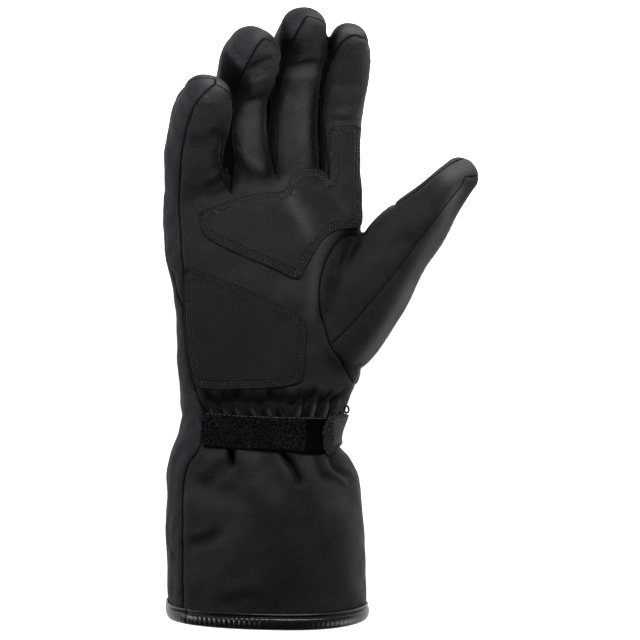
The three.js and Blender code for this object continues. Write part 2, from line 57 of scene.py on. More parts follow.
# Camera straight above the palm, as the photograph has it
cameraSettings = {"height": 2.3, "lens": 237.8, "sensor": 36}
cameraData = bpy.data.cameras.new("camera")
cameraData.lens = cameraSettings["lens"]
cameraData.sensor_width = cameraSettings["sensor"]
camera = placed("camera", cameraData)
camera.location = (-originShift[0] / 1000, -originShift[1] / 1000, cameraSettings["height"])
bpy.context.scene.camera = camera
bpy.context.scene.view_settings.view_transform = "Standard"
bpy.context.scene.view_settings.look = "None"


# Sizes of the glove, in millimetres
form = {
    "voxel": 0.8,
    "wall": 2.6,
    "handCuffJoint": -59.0,
    "knuckleJoint": 62.0,
    "cuffEnd": -155.2,
    "hemBow": 5.8,
    "hemSlant": 2.4,
    "bowStart": -95.0,
    "backSag": 3.0,
    "roundness": 2.4,
    "fingerRoundness": 2.2,
    "cinch": 1.6,
    "cinchPlace": -60.5,
    "cinchReach": 8,
}


def table(columns, rows):
    values = np.array(rows, float)
    return {name: values[:, i] for i, name in enumerate(columns)}


hemUnder = 1.1
bodyRows = table(["y", "left", "right", "middle", "top", "under"], [
    [-155.2, -80.4, 24.2, 35.5, 70, hemUnder],
    [-148.5, -81.2, 24.7, 35.4, 69.7, hemUnder],
    [-118, -82.4, 24.3, 34.4, 67, hemUnder],
    [-92, -82.3, 21.8, 33, 63.8, hemUnder],
    [-81, -81.9, 19.6, 32, 61.9, 1.9],
    [-73, -81, 15.8, 31, 60, 3.4],
    [-67, -79.6, 10.8, 31, 59, 4.6],
    [-58.5, -77, 11.8, 30, 56.5, 5.8],
    [-50.5, -74.1, 13.7, 29, 54, 5.8],
    [-45, -74.3, 15.2, 28, 52.3, 4.4],
    [-39.5, -75, 17.2, 26.8, 50.3, 2.6],
    [-34, -75.9, 19.8, 26, 49, 1.4],
    [-27, -76.6, 21.3, 25, 48.5, 0.6],
    [-11, -77.3, 21.6, 24, 48, 0],
    [11, -78.3, 21.8, 24, 48, 0],
    [31, -82.2, 22.2, 23, 46.5, 0],
    [48, -84.6, 22.4, 22, 44, 0],
    [61, -85.3, 22.4, 22, 40.4, 0.8],
    [71, -84, 21.4, 21, 34.5, 5],
    [77, -79, 15, 21, 27, 13],
])

fingerColumns = ["x", "y", "z", "halfWidth", "halfDepth"]
littleFinger = table(fingerColumns, [
    [-66.5, 44, 21, 15.5, 13],
    [-67.2, 71, 22, 17.2, 13.5],
    [-67.4, 84, 26.4, 16.9, 13.9],
    [-66.3, 97, 34.5, 16.2, 14.3],
    [-64, 106, 42, 16.2, 14.5],
    [-61.6, 113, 50, 15.4, 14],
    [-60.2, 118, 57, 13.6, 12.6],
])
ringFinger = table(fingerColumns, [
    [-36, 44, 19, 13.2, 12.5],
    [-36.8, 71, 20, 12.8, 13],
    [-37.6, 83, 20.5, 11.9, 13],
    [-39.6, 97, 23.6, 10.6, 13],
    [-40.9, 111, 28.5, 11.5, 13.1],
    [-40.9, 121, 32.5, 13.6, 13.6],
    [-40, 129, 38.5, 15.9, 14],
    [-37.4, 137, 47, 16.3, 13.8],
    [-34.6, 143, 53.5, 14.2, 12.4],
])
middleFinger = table(fingerColumns, [
    [-12.3, 44, 19, 13.2, 12.5],
    [-12.5, 71, 20, 13, 13],
    [-12.9, 83, 20.2, 12.8, 13],
    [-14.4, 95, 21.3, 13.4, 13],
    [-14.9, 111, 23.5, 13.4, 13],
    [-14.1, 126, 27.2, 13.5, 13.2],
    [-12.6, 137, 31.5, 13.8, 13.5],
    [-10.8, 147, 37.5, 15.2, 13.3],
    [-9.2, 155.4, 45, 12.8, 11.8],
])
indexFinger = table(fingerColumns, [
    [12, 44, 19, 10.6, 12.5],
    [11.6, 68, 20, 10.8, 13],
    [10.9, 88, 20.9, 10.7, 13],
    [11.2, 108, 22.9, 11.7, 13],
    [12.4, 121, 25.3, 12.5, 13],
    [14, 132, 28.8, 12.8, 13],
    [15.2, 141, 33, 12, 12.6],
    [15.3, 147.6, 37.5, 10.6, 11.8],
])
thumb = table(fingerColumns, [
    [-4, -21, 25, 15, 18],
    [9, -8, 26, 22.4, 21],
    [25.7, 15.4, 28, 22.3, 20],
    [33.6, 27.5, 29, 21, 18],
    [41.6, 39.2, 30, 19.4, 16.2],
    [51.4, 50.6, 31.5, 16.6, 14.4],
    [60.7, 61.8, 33, 13.9, 12.6],
    [69.2, 70.8, 35, 11.9, 11],
    [75.8, 77.6, 36.5, 10.4, 9.6],
])
# Where the side walls of two neighbouring fingers lie against each other
fingerContacts = [
    table(fingerColumns, [
        [-49.8, 60, 18.5, 2.4, 5.5],
        [-49.6, 84, 20.5, 1.9, 5.5],
        [-50.2, 98, 24, 1.6, 4],
    ]),
    table(fingerColumns, [
        [-25.3, 60, 17.5, 2.4, 5.5],
        [-26.8, 92, 19, 1.8, 5],
        [-28.7, 112, 21.5, 1.8, 4],
        [-28, 122, 23.8, 1.4, 3.2],
    ]),
    table(fingerColumns, [
        [0.4, 60, 17.5, 2.4, 5.5],
        [0, 85, 18.3, 1.7, 5.2],
        [-0.9, 108, 20.5, 1.7, 5],
        [-0.4, 128, 24, 1.4, 4],
    ]),
]
# Webs that close the bottom of each gap, and how far up the palm cloth covers them
fingerWebs = [
    (table(fingerColumns, [[-48.6, 48, 17, 5, 13], [-48.6, 61, 20, 5.4, 10.5]]), 69.6),
    (table(fingerColumns, [[-24.4, 56, 17, 5, 13], [-24.4, 71, 21, 5.4, 10.5]]), 79.6),
    (table(fingerColumns, [[0.8, 56, 17, 5, 13], [0.8, 70, 20.5, 5.4, 10.5]]), 78.6),
]


def walkedAlong(line):
    # How far along a line each of its points lies
    return np.concatenate([[0], np.cumsum(np.linalg.norm(np.diff(line, axis=0), axis=1))])


def smoothLine(points, step=1.8, closed=False):
    points = np.array(points, float)
    if closed:
        points = np.vstack([points[-2:], points, points[:3]])
    along = walkedAlong(points)
    low, high = (along[2], along[-3]) if closed else (0, along[-1])
    at = np.linspace(low, high, max(3, int((high - low) / step)))
    line = np.stack([smoothColumn(along, points[:, i], at) for i in range(points.shape[1])], axis=1)
    return line[:-1] if closed else line


def smoothColumn(keys, values, at):
    # Piecewise-cubic curve through the values, with slopes from both neighbours
    last = len(keys) - 1
    before = np.maximum(np.arange(last + 1) - 1, 0)
    after = np.minimum(np.arange(last + 1) + 1, last)
    slopes = (values[after] - values[before]) / (keys[after] - keys[before])
    i = np.clip(np.searchsorted(keys, at, side="right") - 1, 0, last - 1)
    span = keys[i + 1] - keys[i]
    t = np.clip((at - keys[i]) / span, 0, 1)
    return (values[i] * (1 + 2 * t) * (1 - t) ** 2 + slopes[i] * span * t * (1 - t) ** 2
            + values[i + 1] * t * t * (3 - 2 * t) + slopes[i + 1] * span * t * t * (t - 1))


def pathLine(path, step=1.2):
    # A path of two points stays straight
    return smoothLine(path, step) if len(path) > 2 else np.array(path, float)


def joined(*parts):
    return np.vstack([np.array(part, float).reshape(-1, 2) for part in parts])


def ramp(value):
    # Smooth step from 0 to 1
    t = np.clip(value, 0, 1)
    return t * t * (3 - 2 * t)


def bell(value):
    return np.exp(-value ** 2)


# Seams in plan, each starting at the end nearer the wrist
sideSeam = [[-62.8, -59], [-62, -50.5], [-64.7, -43], [-67.9, -33.8], [-69.5, -25.2], [-71.3, -16],
            [-72.4, -4], [-73, 8.1], [-73, 21.5], [-73.8, 33.8], [-75.2, 45.6], [-76, 57.5]]
littleSeam = [[-76, 57.5], [-75.7, 69.8], [-74.4, 83.2], [-72.8, 94], [-69.5, 105.8], [-65.2, 114.4],
              [-59.9, 120.8], [-55, 125.1], [-49.7, 126.7]]
thumbCentreStart = [5.6, -13.4]
smoothSide = smoothLine(sideSeam)
smoothLittle = smoothLine(littleSeam)
smoothArc = smoothLine([[18.5, -34.4], [11, -22], thumbCentreStart, [1, 1], [-0.3, 12], [1, 24.5],
                        [5.4, 36], [12.6, 44], [23.4, 46.7]])
smoothThumbCentre = smoothLine([thumbCentreStart, [17.5, -1.6], [42.2, 27.9], [59.3, 51], [75.4, 71.4],
                                [77.6, 76.3]])
smoothThumbUpper = smoothLine([[23.4, 46.7], [27.1, 51], [43.2, 64], [62.6, 78.6], [69, 83.2]])
smoothCuffSide = smoothLine([[-62.8, -59], [-63.2, -64], [-65.2, -69.8], [-69.5, -76.3], [-72.2, -84.8],
                             [-73.3, -95], [-72.8, -117], [-73.8, -190]])
smoothRing = smoothLine([[-47.5, 57], [-47.5, 71.4], [-47.8, 85.9], [-47.5, 99.3], [-46.2, 112.8],
                         [-42.7, 126.2], [-37.3, 136.9], [-33, 145], [-29.3, 149.3], [-23.4, 152.5]])
smoothMiddle = smoothLine([[-23.5, 57], [-22.8, 79.5], [-23.1, 96.7], [-22.8, 112.8], [-21.7, 123.5],
                           [-19.6, 134.2], [-15.8, 145], [-10.5, 155.7], [-6.2, 162.2], [0.3, 164.3]])
smoothIndex = smoothLine([[5.1, 57], [5.1, 73.6], [3, 91.3], [1.3, 107.4], [1.9, 120.8], [4, 131.6],
                          [6.7, 139.6], [11, 147.7], [16.4, 151.4], [23.9, 150.9]])

# Plan outlines of the panels
palmOutline = joined(smoothSide, [[-76, 66], [40, 66], [40, 46.7]], smoothArc[::-1],
                     [[40, -34.4], [40, -62]])
littleOutline = joined(smoothLittle, [[-43, 126], [-44.5, 108], [-50, 90], [-48.8, 72], [-47, 57]])
ringOutline = joined(smoothRing, [[-18, 150], [-18.5, 137], [-22.5, 130], [-27.5, 110],
                                  [-27.8, 95], [-25, 81], [-23, 57]])
middleOutline = joined(smoothMiddle, [[4.6, 163], [4.6, 142], [1.1, 132], [-0.5, 120],
                                      [-0.9, 100], [0.3, 78], [5.6, 57]])
indexOutline = joined(smoothIndex, [[36, 150], [36, 57]])
arcMeets = np.argmin(np.linalg.norm(smoothArc - thumbCentreStart, axis=1))
thumbInnerOutline = joined(smoothArc[arcMeets:], smoothThumbUpper[1:], [[74, 86], [92, 92], [92, 78]],
                           smoothThumbCentre[::-1][:-1])
thumbOuterOutline = joined(smoothThumbCentre, [[92, 78], [92, -34.4]], smoothArc[:arcMeets])
thumbBackOutline = joined([[19, -34.4], [19, -60], [130, -60], [130, 130], [60, 110], [34, 75],
                           [24.6, 58], [22.8, 46.7]])
stripStart = [[-73.3, 5.9], [-77.1, 15.6], [-79.2, 25.8]]
stripOutline = joined(smoothLine(stripStart), [[-92, 29], [-95, 142], [-55.6, 142]],
                      smoothLine(littleSeam[:8])[::-1], smoothLine(sideSeam[7:])[::-1])
cuffOutline = joined(smoothCuffSide, [[60, -190], [60, -59]])

# Plan outlines of what is sewn on the palm side
palmPatchOutline = smoothLine([
    [-64.2, 57.6], [-60, 59.2], [-46.5, 64.4], [-34, 67.2], [-25, 68.4], [-19.5, 68.6],
    [-16.5, 74.5], [-12.5, 80], [-5, 81.6], [1, 80.8], [3.8, 78], [5.2, 75], [5.2, 82],
    [4.9, 92], [5.2, 100.2], [7.2, 103.4], [15, 104.1], [21.8, 103.2], [22.4, 86], [22.2, 70],
    [22.4, 54], [20.6, 49.6], [14.2, 48.6], [8.5, 47.6], [3, 44.2], [-2, 38], [-7.8, 27.5],
    [-10.8, 22], [-15, 22.4], [-22, 26], [-36, 31.8], [-50, 38], [-58.5, 42.6], [-62.4, 46.4],
    [-64, 51.5]], step=0.9, closed=True)
heelPatchOutline = smoothLine([
    [-72.3, 28], [-69, 27.4], [-50.2, 20.9], [-36.2, 15.2], [-18.5, 6.6], [-11, 2.2],
    [-7.8, -2.6], [-7.2, -9], [-8, -22], [-9, -31.4], [-12, -34], [-22.3, -36], [-39.5, -37],
    [-64.6, -36.6], [-67.4, -33], [-70.4, -18], [-72.2, 0]], step=0.9, closed=True)
pileOutline = joined([[-61.6, -49.2], [-36, -50.8], [8, -52], [8, -71.6], [1.9, -71.8], [-6.8, -71.4],
                      [-20, -69.8], [-46, -69], [-61.9, -67.6]])
tabOutline = joined([[4.2, -51.6], [9, -50.2], [40, -49.8], [40, -66], [11, -66.4], [8.4, -69.2],
                     [5.2, -73], [2.6, -72.6], [0.9, -69], [0.1, -64], [0.3, -58.5], [1.4, -54.6]])
strapBackOutline = joined([[-20, -50.8], [40, -49.8], [40, -66], [-20, -66.8]])

# Heights of the palm's and the cuff's edges along the glove
palmLine = np.array([[-200, 30], [-59, 30], [-43, 27], [-32, 25], [11, 24], [48, 22], [120, 20]], float)
cuffLine = np.array([[-250, 33], [-93, 32], [-59, 30], [20, 30]], float)
# The way that the thumb points in plan
thumbHeading = np.array([0.664, 0.748])
# How far the side strip's lower edge lies under the middle of the little finger, along the glove
stripDrop = np.array([[5.9, -13.8], [15, -11.1], [30, -8.2], [45, -4.2], [57, 0.6], [64, 4.3], [72, 7]])


# Lofted bodies
def soften(value, exponent):
    return np.sign(value) * np.abs(value) ** (2 / exponent)


def anglesRound(count):
    return np.linspace(0, 2 * math.pi, count, endpoint=False)


def bodyPoints(angles, ys, offset):
    columns = {name: smoothColumn(bodyRows["y"], bodyRows[name], ys)[:, None] for name in bodyRows}
    across = soften(np.cos(angles), form["roundness"])[None, :]
    up = soften(np.sin(angles), form["roundness"])[None, :]
    left, right, middle = columns["left"], columns["right"], columns["middle"]
    x = (left + right) / 2 + ((right - left) / 2 + offset) * across
    reach = np.where(up > 0, columns["top"] - middle + offset,
                     middle - columns["under"] + form["backSag"] + offset)
    z = np.maximum(middle + reach * up, columns["under"] - offset)
    share = np.maximum(0, (form["bowStart"] - ys) / (form["bowStart"] - form["cuffEnd"]))[:, None] ** 1.5
    bow = form["hemBow"] * np.maximum(0, up) ** (0.95 + 0.35 * across)
    y = ys[:, None] - share * (bow + form["hemSlant"] * (1 + across) / 2)
    return np.stack([x, y, z], axis=2)


def hemLevel(x, z):
    # How far the hem lies along the glove at a point of the cuff's surface
    left, right, middle, top = (bodyRows[name][0] for name in ("left", "right", "middle", "top"))
    across = np.clip((x - (left + right) / 2) / ((right - left) / 2), -1, 1)
    up = np.clip((z - middle) / (top - middle), 0, 1)
    bow = form["hemBow"] * up ** (0.95 + 0.35 * across)
    return form["cuffEnd"] - bow - form["hemSlant"] * (1 + across) / 2


def facingOut(points, faces):
    # The faces of a closed body, all turned round if they face inwards
    volume = np.einsum("ij,ij->i", points[faces[:, 0]],
                       np.cross(points[faces[:, 1]], points[faces[:, 2]])).sum()
    return faces if volume > 0 else faces[:, ::-1]


def loft(rings, startTip, endTip):
    # Closed body from rings of points, with a point at each end
    count, sides = rings.shape[:2]
    points = np.vstack([rings.reshape(-1, 3), startTip, endTip])
    ring, side = np.meshgrid(np.arange(count - 1), np.arange(sides), indexing="ij")
    a = ring * sides + side
    b = ring * sides + (side + 1) % sides
    quads = np.stack([a, b, b + sides, a + sides], axis=2).reshape(-1, 4)
    around = np.arange(sides)
    after = (around + 1) % sides
    start, end = count * sides, count * sides + 1
    last = (count - 1) * sides
    faces = np.vstack([
        quads[:, [0, 1, 2]], quads[:, [0, 2, 3]],
        np.stack([np.full(sides, start), after, around], axis=1),
        np.stack([np.full(sides, end), last + around, last + after], axis=1)])
    return points, facingOut(points, faces)


def fingerLoft(rows, sides=96, step=0.8):
    ys = rows["y"]
    at = np.linspace(ys[0], ys[-1], int((ys[-1] - ys[0]) / step))
    column = {name: smoothColumn(ys, rows[name], at) for name in rows}
    centres = np.stack([column["x"], at, column["z"]], axis=1)
    along = np.gradient(centres, axis=0)
    along /= np.linalg.norm(along, axis=1, keepdims=True)
    halfWidth, halfDepth = column["halfWidth"], column["halfDepth"]
    tip = halfDepth[-1]
    turns = np.linspace(0.06, 1.5, 22)
    centres = np.vstack([centres, centres[-1] + along[-1] * tip * np.sin(turns)[:, None]])
    along = np.vstack([along, np.repeat(along[-1:], len(turns), axis=0)])
    halfWidth = np.concatenate([halfWidth, halfWidth[-1] * np.cos(turns)])
    halfDepth = np.concatenate([halfDepth, tip * np.cos(turns)])
    side = np.cross(along, [0, 0, 1])
    side /= np.linalg.norm(side, axis=1, keepdims=True)
    up = np.cross(side, along)
    angles = anglesRound(sides)
    across = soften(np.cos(angles), form["fingerRoundness"])
    rise = soften(np.sin(angles), form["fingerRoundness"])
    rings = (centres[:, None, :]
             + side[:, None, :] * (halfWidth[:, None] * across)[:, :, None]
             + up[:, None, :] * (halfDepth[:, None] * rise)[:, :, None])
    return loft(rings, centres[0], centres[len(at) - 1] + along[-1] * tip)


def bodyLoft(sides=320, step=0.9):
    angles = anglesRound(sides)
    far = bodyRows["y"][-1]
    ys = np.linspace(form["cuffEnd"], far, int((far - form["cuffEnd"]) / step))
    rings = bodyPoints(angles, ys, 0)
    squeeze = form["cinch"] * bell((ys - form["cinchPlace"]) / form["cinchReach"])
    middles = rings.mean(axis=1, keepdims=True)
    away = rings - middles
    away[:, :, 1] = 0
    rings = rings - away / np.linalg.norm(away, axis=2, keepdims=True) * squeeze[:, None, None]
    # One more ring, so that the surface can be cut off at the hem
    rings = np.concatenate([rings[:1] + [0, -8, 0], rings])
    return loft(rings, rings[0].mean(axis=0), rings[-1].mean(axis=0))


# Mesh helpers that work on plain arrays
def rawObject(name, points, faces):
    mesh = bpy.data.meshes.new(name)
    mesh.vertices.add(len(points))
    mesh.vertices.foreach_set("co", np.ascontiguousarray(points, np.float32).ravel())
    size = faces.shape[1]
    mesh.loops.add(len(faces) * size)
    mesh.loops.foreach_set("vertex_index", np.ascontiguousarray(faces, np.int32).ravel())
    mesh.polygons.add(len(faces))
    mesh.polygons.foreach_set("loop_start", np.arange(0, len(faces) * size, size, dtype=np.int32))
    mesh.polygons.foreach_set("use_smooth", np.ones(len(faces), bool))
    mesh.update(calc_edges=True)
    return placed(name, mesh)


def evaluatedOf(thing):
    return thing.evaluated_get(bpy.context.evaluated_depsgraph_get())


def meshArrays(mesh):
    points = np.zeros(len(mesh.vertices) * 3, np.float32)
    mesh.vertices.foreach_get("co", points)
    mesh.calc_loop_triangles()
    faces = np.zeros(len(mesh.loop_triangles) * 3, np.int32)
    mesh.loop_triangles.foreach_get("vertices", faces)
    return points.reshape(-1, 3).astype(float), faces.reshape(-1, 3)


def remeshed(bodies, voxel):
    points, faces, start = [], [], 0
    for corners, triangles in bodies:
        points.append(corners)
        faces.append(triangles + start)
        start += len(corners)
    temp = rawObject("form", np.vstack(points), np.vstack(faces))
    change = temp.modifiers.new("voxels", "REMESH")
    change.mode = "VOXEL"
    change.voxel_size = voxel
    evaluated = evaluatedOf(temp)
    result = meshArrays(evaluated.to_mesh())
    evaluated.to_mesh_clear()
    oldMesh = temp.data
    bpy.data.objects.remove(temp)
    bpy.data.meshes.remove(oldMesh)
    return result


def sidesOf(faces):
    # The three directed edges of each face
    return np.concatenate([faces[:, [0, 1]], faces[:, [1, 2]], faces[:, [2, 0]]]).astype(np.int64)


def edgesOf(faces):
    pairs = np.sort(sidesOf(faces), axis=1)
    size = int(faces.max()) + 1
    keys = np.unique(pairs[:, 0] * size + pairs[:, 1])
    return np.stack([keys // size, keys % size], axis=1)


def neighbourMean(values, edges):
    count = len(values)
    degree = np.bincount(edges.ravel(), minlength=count)
    flat = values.reshape(count, -1)
    total = np.stack([
        np.bincount(edges[:, 0], flat[edges[:, 1], i], count)
        + np.bincount(edges[:, 1], flat[edges[:, 0], i], count)
        for i in range(flat.shape[1])], axis=1)
    return (total / np.maximum(degree, 1)[:, None]).reshape(values.shape)


def smoothed(values, edges, rounds, weight=0.5):
    for _ in range(rounds):
        values = values + weight * (neighbourMean(values, edges) - values)
    return values


def relaxed(points, edges, rounds):
    # Smooths without shrinking
    for _ in range(rounds):
        points = smoothed(points, edges, 1, 0.5)
        points = smoothed(points, edges, 1, -0.52)
    return points


def cornersOf(points, faces):
    # The three corners of each face, and its normal as long as twice its area
    a, b, c = (points[faces[:, i]] for i in range(3))
    return a, b, c, np.cross(b - a, c - a)


def atPoints(faces, values, count):
    # The sum of the faces' values at each point
    return sum(np.bincount(faces[:, k], values, count) for k in range(3))


def normalsOf(points, faces):
    *_, across = cornersOf(points, faces)
    total = np.stack([atPoints(faces, across[:, i], len(points)) for i in range(3)], axis=1)
    return total / np.maximum(np.linalg.norm(total, axis=1, keepdims=True), 1e-12)


def clipped(field, faces, carried):
    # Keeps the part of a surface where the field is above zero, cutting faces where it crosses
    inside = field > 0
    count = inside[faces].sum(axis=1)
    whole = faces[count == 3]

    def turned(rows, chosen):
        # Turns each face so that the chosen corner comes first
        first = np.argmax(chosen[rows], axis=1)
        order = (first[:, None] + np.arange(3)) % 3
        return np.take_along_axis(rows, order, axis=1)

    one = turned(faces[count == 1], inside)
    two = turned(faces[count == 2], ~inside)
    size = len(field)
    cuts = np.concatenate([one[:, [0, 1]], one[:, [0, 2]], two[:, [0, 1]], two[:, [0, 2]]])
    low, high = cuts.min(axis=1), cuts.max(axis=1)
    keys, place = np.unique(low.astype(np.int64) * size + high, return_inverse=True)
    start, end = keys // size, keys % size
    t = field[start] / (field[start] - field[end])
    lengths = np.cumsum([0, len(one), len(one), len(two), len(two)])
    oneB, oneC, twoB, twoC = (size + place[lengths[i]:lengths[i + 1]] for i in range(4))
    made = np.concatenate([
        whole,
        np.stack([one[:, 0], oneB, oneC], axis=1),
        np.stack([two[:, 1], two[:, 2], twoC], axis=1),
        np.stack([two[:, 1], twoC, twoB], axis=1)])
    used, faces = np.unique(made, return_inverse=True)
    faces = faces.reshape(-1, 3)
    results = []
    for values in carried:
        between = values[start] + (values[end] - values[start]) * t.reshape((-1,) + (1,) * (values.ndim - 1))
        results.append(np.concatenate([values, between])[used])
    edge = np.concatenate([np.where(inside, field, 0), np.zeros(len(keys))])[used]
    return edge, faces, results


def largest(faces, count):
    # Faces of the largest connected part
    labels = np.arange(count)
    while True:
        low = labels[faces].min(axis=1)
        new = labels.copy()
        for k in range(3):
            np.minimum.at(new, faces[:, k], low)
        new = new[new]
        if (new == labels).all():
            break
        labels = new
    sizes = np.bincount(labels[faces[:, 0]], minlength=count)
    return faces[labels[faces[:, 0]] == np.argmax(sizes)]


def cutOut(field, faces, carried):
    # The largest part of a surface where the field is above zero, with the values that it carries
    edge, made, carried = clipped(field, faces, carried)
    used, made = np.unique(largest(made, len(edge)), return_inverse=True)
    return made.reshape(-1, 3), edge[used], [values[used] for values in carried]


def rimEdges(faces):
    # Directed edges that only one face has
    directed = sidesOf(faces)
    size = faces.max() + 1
    keys = directed[:, 0] * size + directed[:, 1]
    opposite = directed[:, 1] * size + directed[:, 0]
    return directed[~np.isin(keys, opposite)]


def subdivided(faces, carried):
    # Each face into four
    pairs = np.sort(sidesOf(faces), axis=1)
    size = int(faces.max()) + 1
    keys, place = np.unique(pairs[:, 0] * size + pairs[:, 1], return_inverse=True)
    ab, bc, ca = (len(carried[0]) + place[i * len(faces):(i + 1) * len(faces)] for i in range(3))
    a, b, c = faces.T
    start, end = keys // size, keys % size
    faces = np.concatenate([np.stack(corner, axis=1) for corner in (
        (a, ab, ca), (ab, b, bc), (ca, bc, c), (ab, bc, ca))])
    return faces, [np.concatenate([values, (values[start] + values[end]) / 2]) for values in carried]


def tubeFaces(count, size):
    # Faces of a closed tube of count rings with size points each
    i, k = (index.ravel() for index in np.meshgrid(np.arange(count), np.arange(size), indexing="ij"))
    after = (i + 1) % count
    a, b = i * size + k, after * size + k
    c, d = after * size + (k + 1) % size, i * size + (k + 1) % size
    return np.concatenate([np.stack([a, b, c], axis=1), np.stack([a, c, d], axis=1)])


def lineDistance(x, y, line, closed=False):
    # Distance to a polyline in plan, and how far along it the nearest point lies
    line = np.array(line, float)
    ends = np.roll(line, -1, axis=0) if closed else line[1:]
    starts = line if closed else line[:-1]
    best = np.full(len(x), 1e18)
    place = np.zeros(len(x))
    walked = 0.0
    for (ax, ay), (bx, by) in zip(starts, ends):
        dx, dy = bx - ax, by - ay
        length = math.hypot(dx, dy)
        if length < 1e-9:
            continue
        t = np.clip(((x - ax) * dx + (y - ay) * dy) / length ** 2, 0, 1)
        gap = (x - ax - t * dx) ** 2 + (y - ay - t * dy) ** 2
        nearer = gap < best
        best = np.where(nearer, gap, best)
        place = np.where(nearer, walked + t * length, place)
        walked += length
    return np.sqrt(best), place


def insideDistance(x, y, outline, reach=14.0):
    # Distance from a plan outline, above zero inside; far points are cut short at reach
    low, high = outline.min(axis=0) - reach, outline.max(axis=0) + reach
    near = (x > low[0]) & (x < high[0]) & (y > low[1]) & (y < high[1])
    result = np.full(len(x), -reach)
    px, py = x[near], y[near]
    distance, _ = lineDistance(px, py, outline, closed=True)
    within = np.zeros(len(px), bool)
    for (ax, ay), (bx, by) in zip(outline, np.roll(outline, -1, axis=0)):
        if ay == by:
            continue
        crosses = (ay > py) != (by > py)
        within ^= crosses & (px < (bx - ax) * (py - ay) / (by - ay) + ax)
    result[near] = np.where(within, distance, -distance)
    return np.clip(result, -reach, reach)


def drift(points, size, seed):
    # Smooth shape noise between about -1 and 1, from nine slow waves
    rng = np.random.default_rng(seed)
    total = np.zeros(len(points))
    for _ in range(9):
        heading = rng.normal(size=3)
        heading /= np.linalg.norm(heading)
        pace = 2 * math.pi / size * rng.uniform(0.6, 1.5)
        total += np.sin(points @ heading * pace + rng.uniform(0, 2 * math.pi))
    return total / 3.2


# The whole outside of the glove as one surface
blendSettings = {
    "rounds": 70, "strength": 0.6, "above": 25,
    "knuckles": 73, "knuckleReach": 15, "facing": 0.35, "facingEase": 0.4,
    "thumbBase": (15, 27), "thumbHeading": (0.93, 0.37), "thumbReach": (9, 24),
}
# Forks between the fingers and at the thumb are rounded a little: x, y, z and size
forkSettings = {"rounds": 6, "strength": 0.55}
forks = [(-48.6, 71, 26, 5), (-24, 80, 25, 5), (5.5, 76, 25, 5), (23, 46, 28, 9), (12, -24, 30, 9)]


def drawnTogether(points, share, rounds):
    # Smooths the surface where the share is above zero
    for _ in range(rounds):
        points = points + share[:, None] * (neighbourMean(points, edges) - points)
    return points


def knuckleBlend(settings):
    # Where the palm has to run into the fingers and into the thumb without a step
    upward = np.clip((normals[:, 2] - settings["facing"]) / settings["facingEase"], 0, 1)
    blend = np.exp(-((points[:, 1] - settings["knuckles"]) / settings["knuckleReach"]) ** 4) * upward
    x, y = points[:, 0] - settings["thumbBase"][0], points[:, 1] - settings["thumbBase"][1]
    (alongX, alongY), (wide, long) = settings["thumbHeading"], settings["thumbReach"]
    away = ((x * alongX - y * alongY) / wide) ** 4 + ((y * alongX + x * alongY) / long) ** 4
    blend = np.maximum(blend, np.exp(-away) * upward)
    return smoothed(blend * (points[:, 2] > settings["above"]), edges, 4)


bodies = [bodyLoft(), fingerLoft(thumb)]
bodies += [fingerLoft(rows) for rows in (littleFinger, ringFinger, middleFinger, indexFinger)]
bodies += [fingerLoft(rows, sides=40) for rows in fingerContacts]
bodies += [fingerLoft(rows, sides=40) for rows, _ in fingerWebs]
points, faces = remeshed(bodies, form["voxel"])
edges = edgesOf(faces)
points = relaxed(points, edges, 3)
crotch = np.zeros(len(points))
for *spot, size in forks:
    crotch = np.maximum(crotch, bell(np.linalg.norm(points - spot, axis=1) / size))
points = drawnTogether(points, forkSettings["strength"] * crotch, forkSettings["rounds"])
normals = normalsOf(points, faces)
blend = blendSettings["strength"] * knuckleBlend(blendSettings)
points = drawnTogether(points, blend, blendSettings["rounds"])
points[:, 2] = np.maximum(points[:, 2], 0)
normals = normalsOf(points, faces)
report(f"surface of {len(points)} points and {len(faces)} triangles")


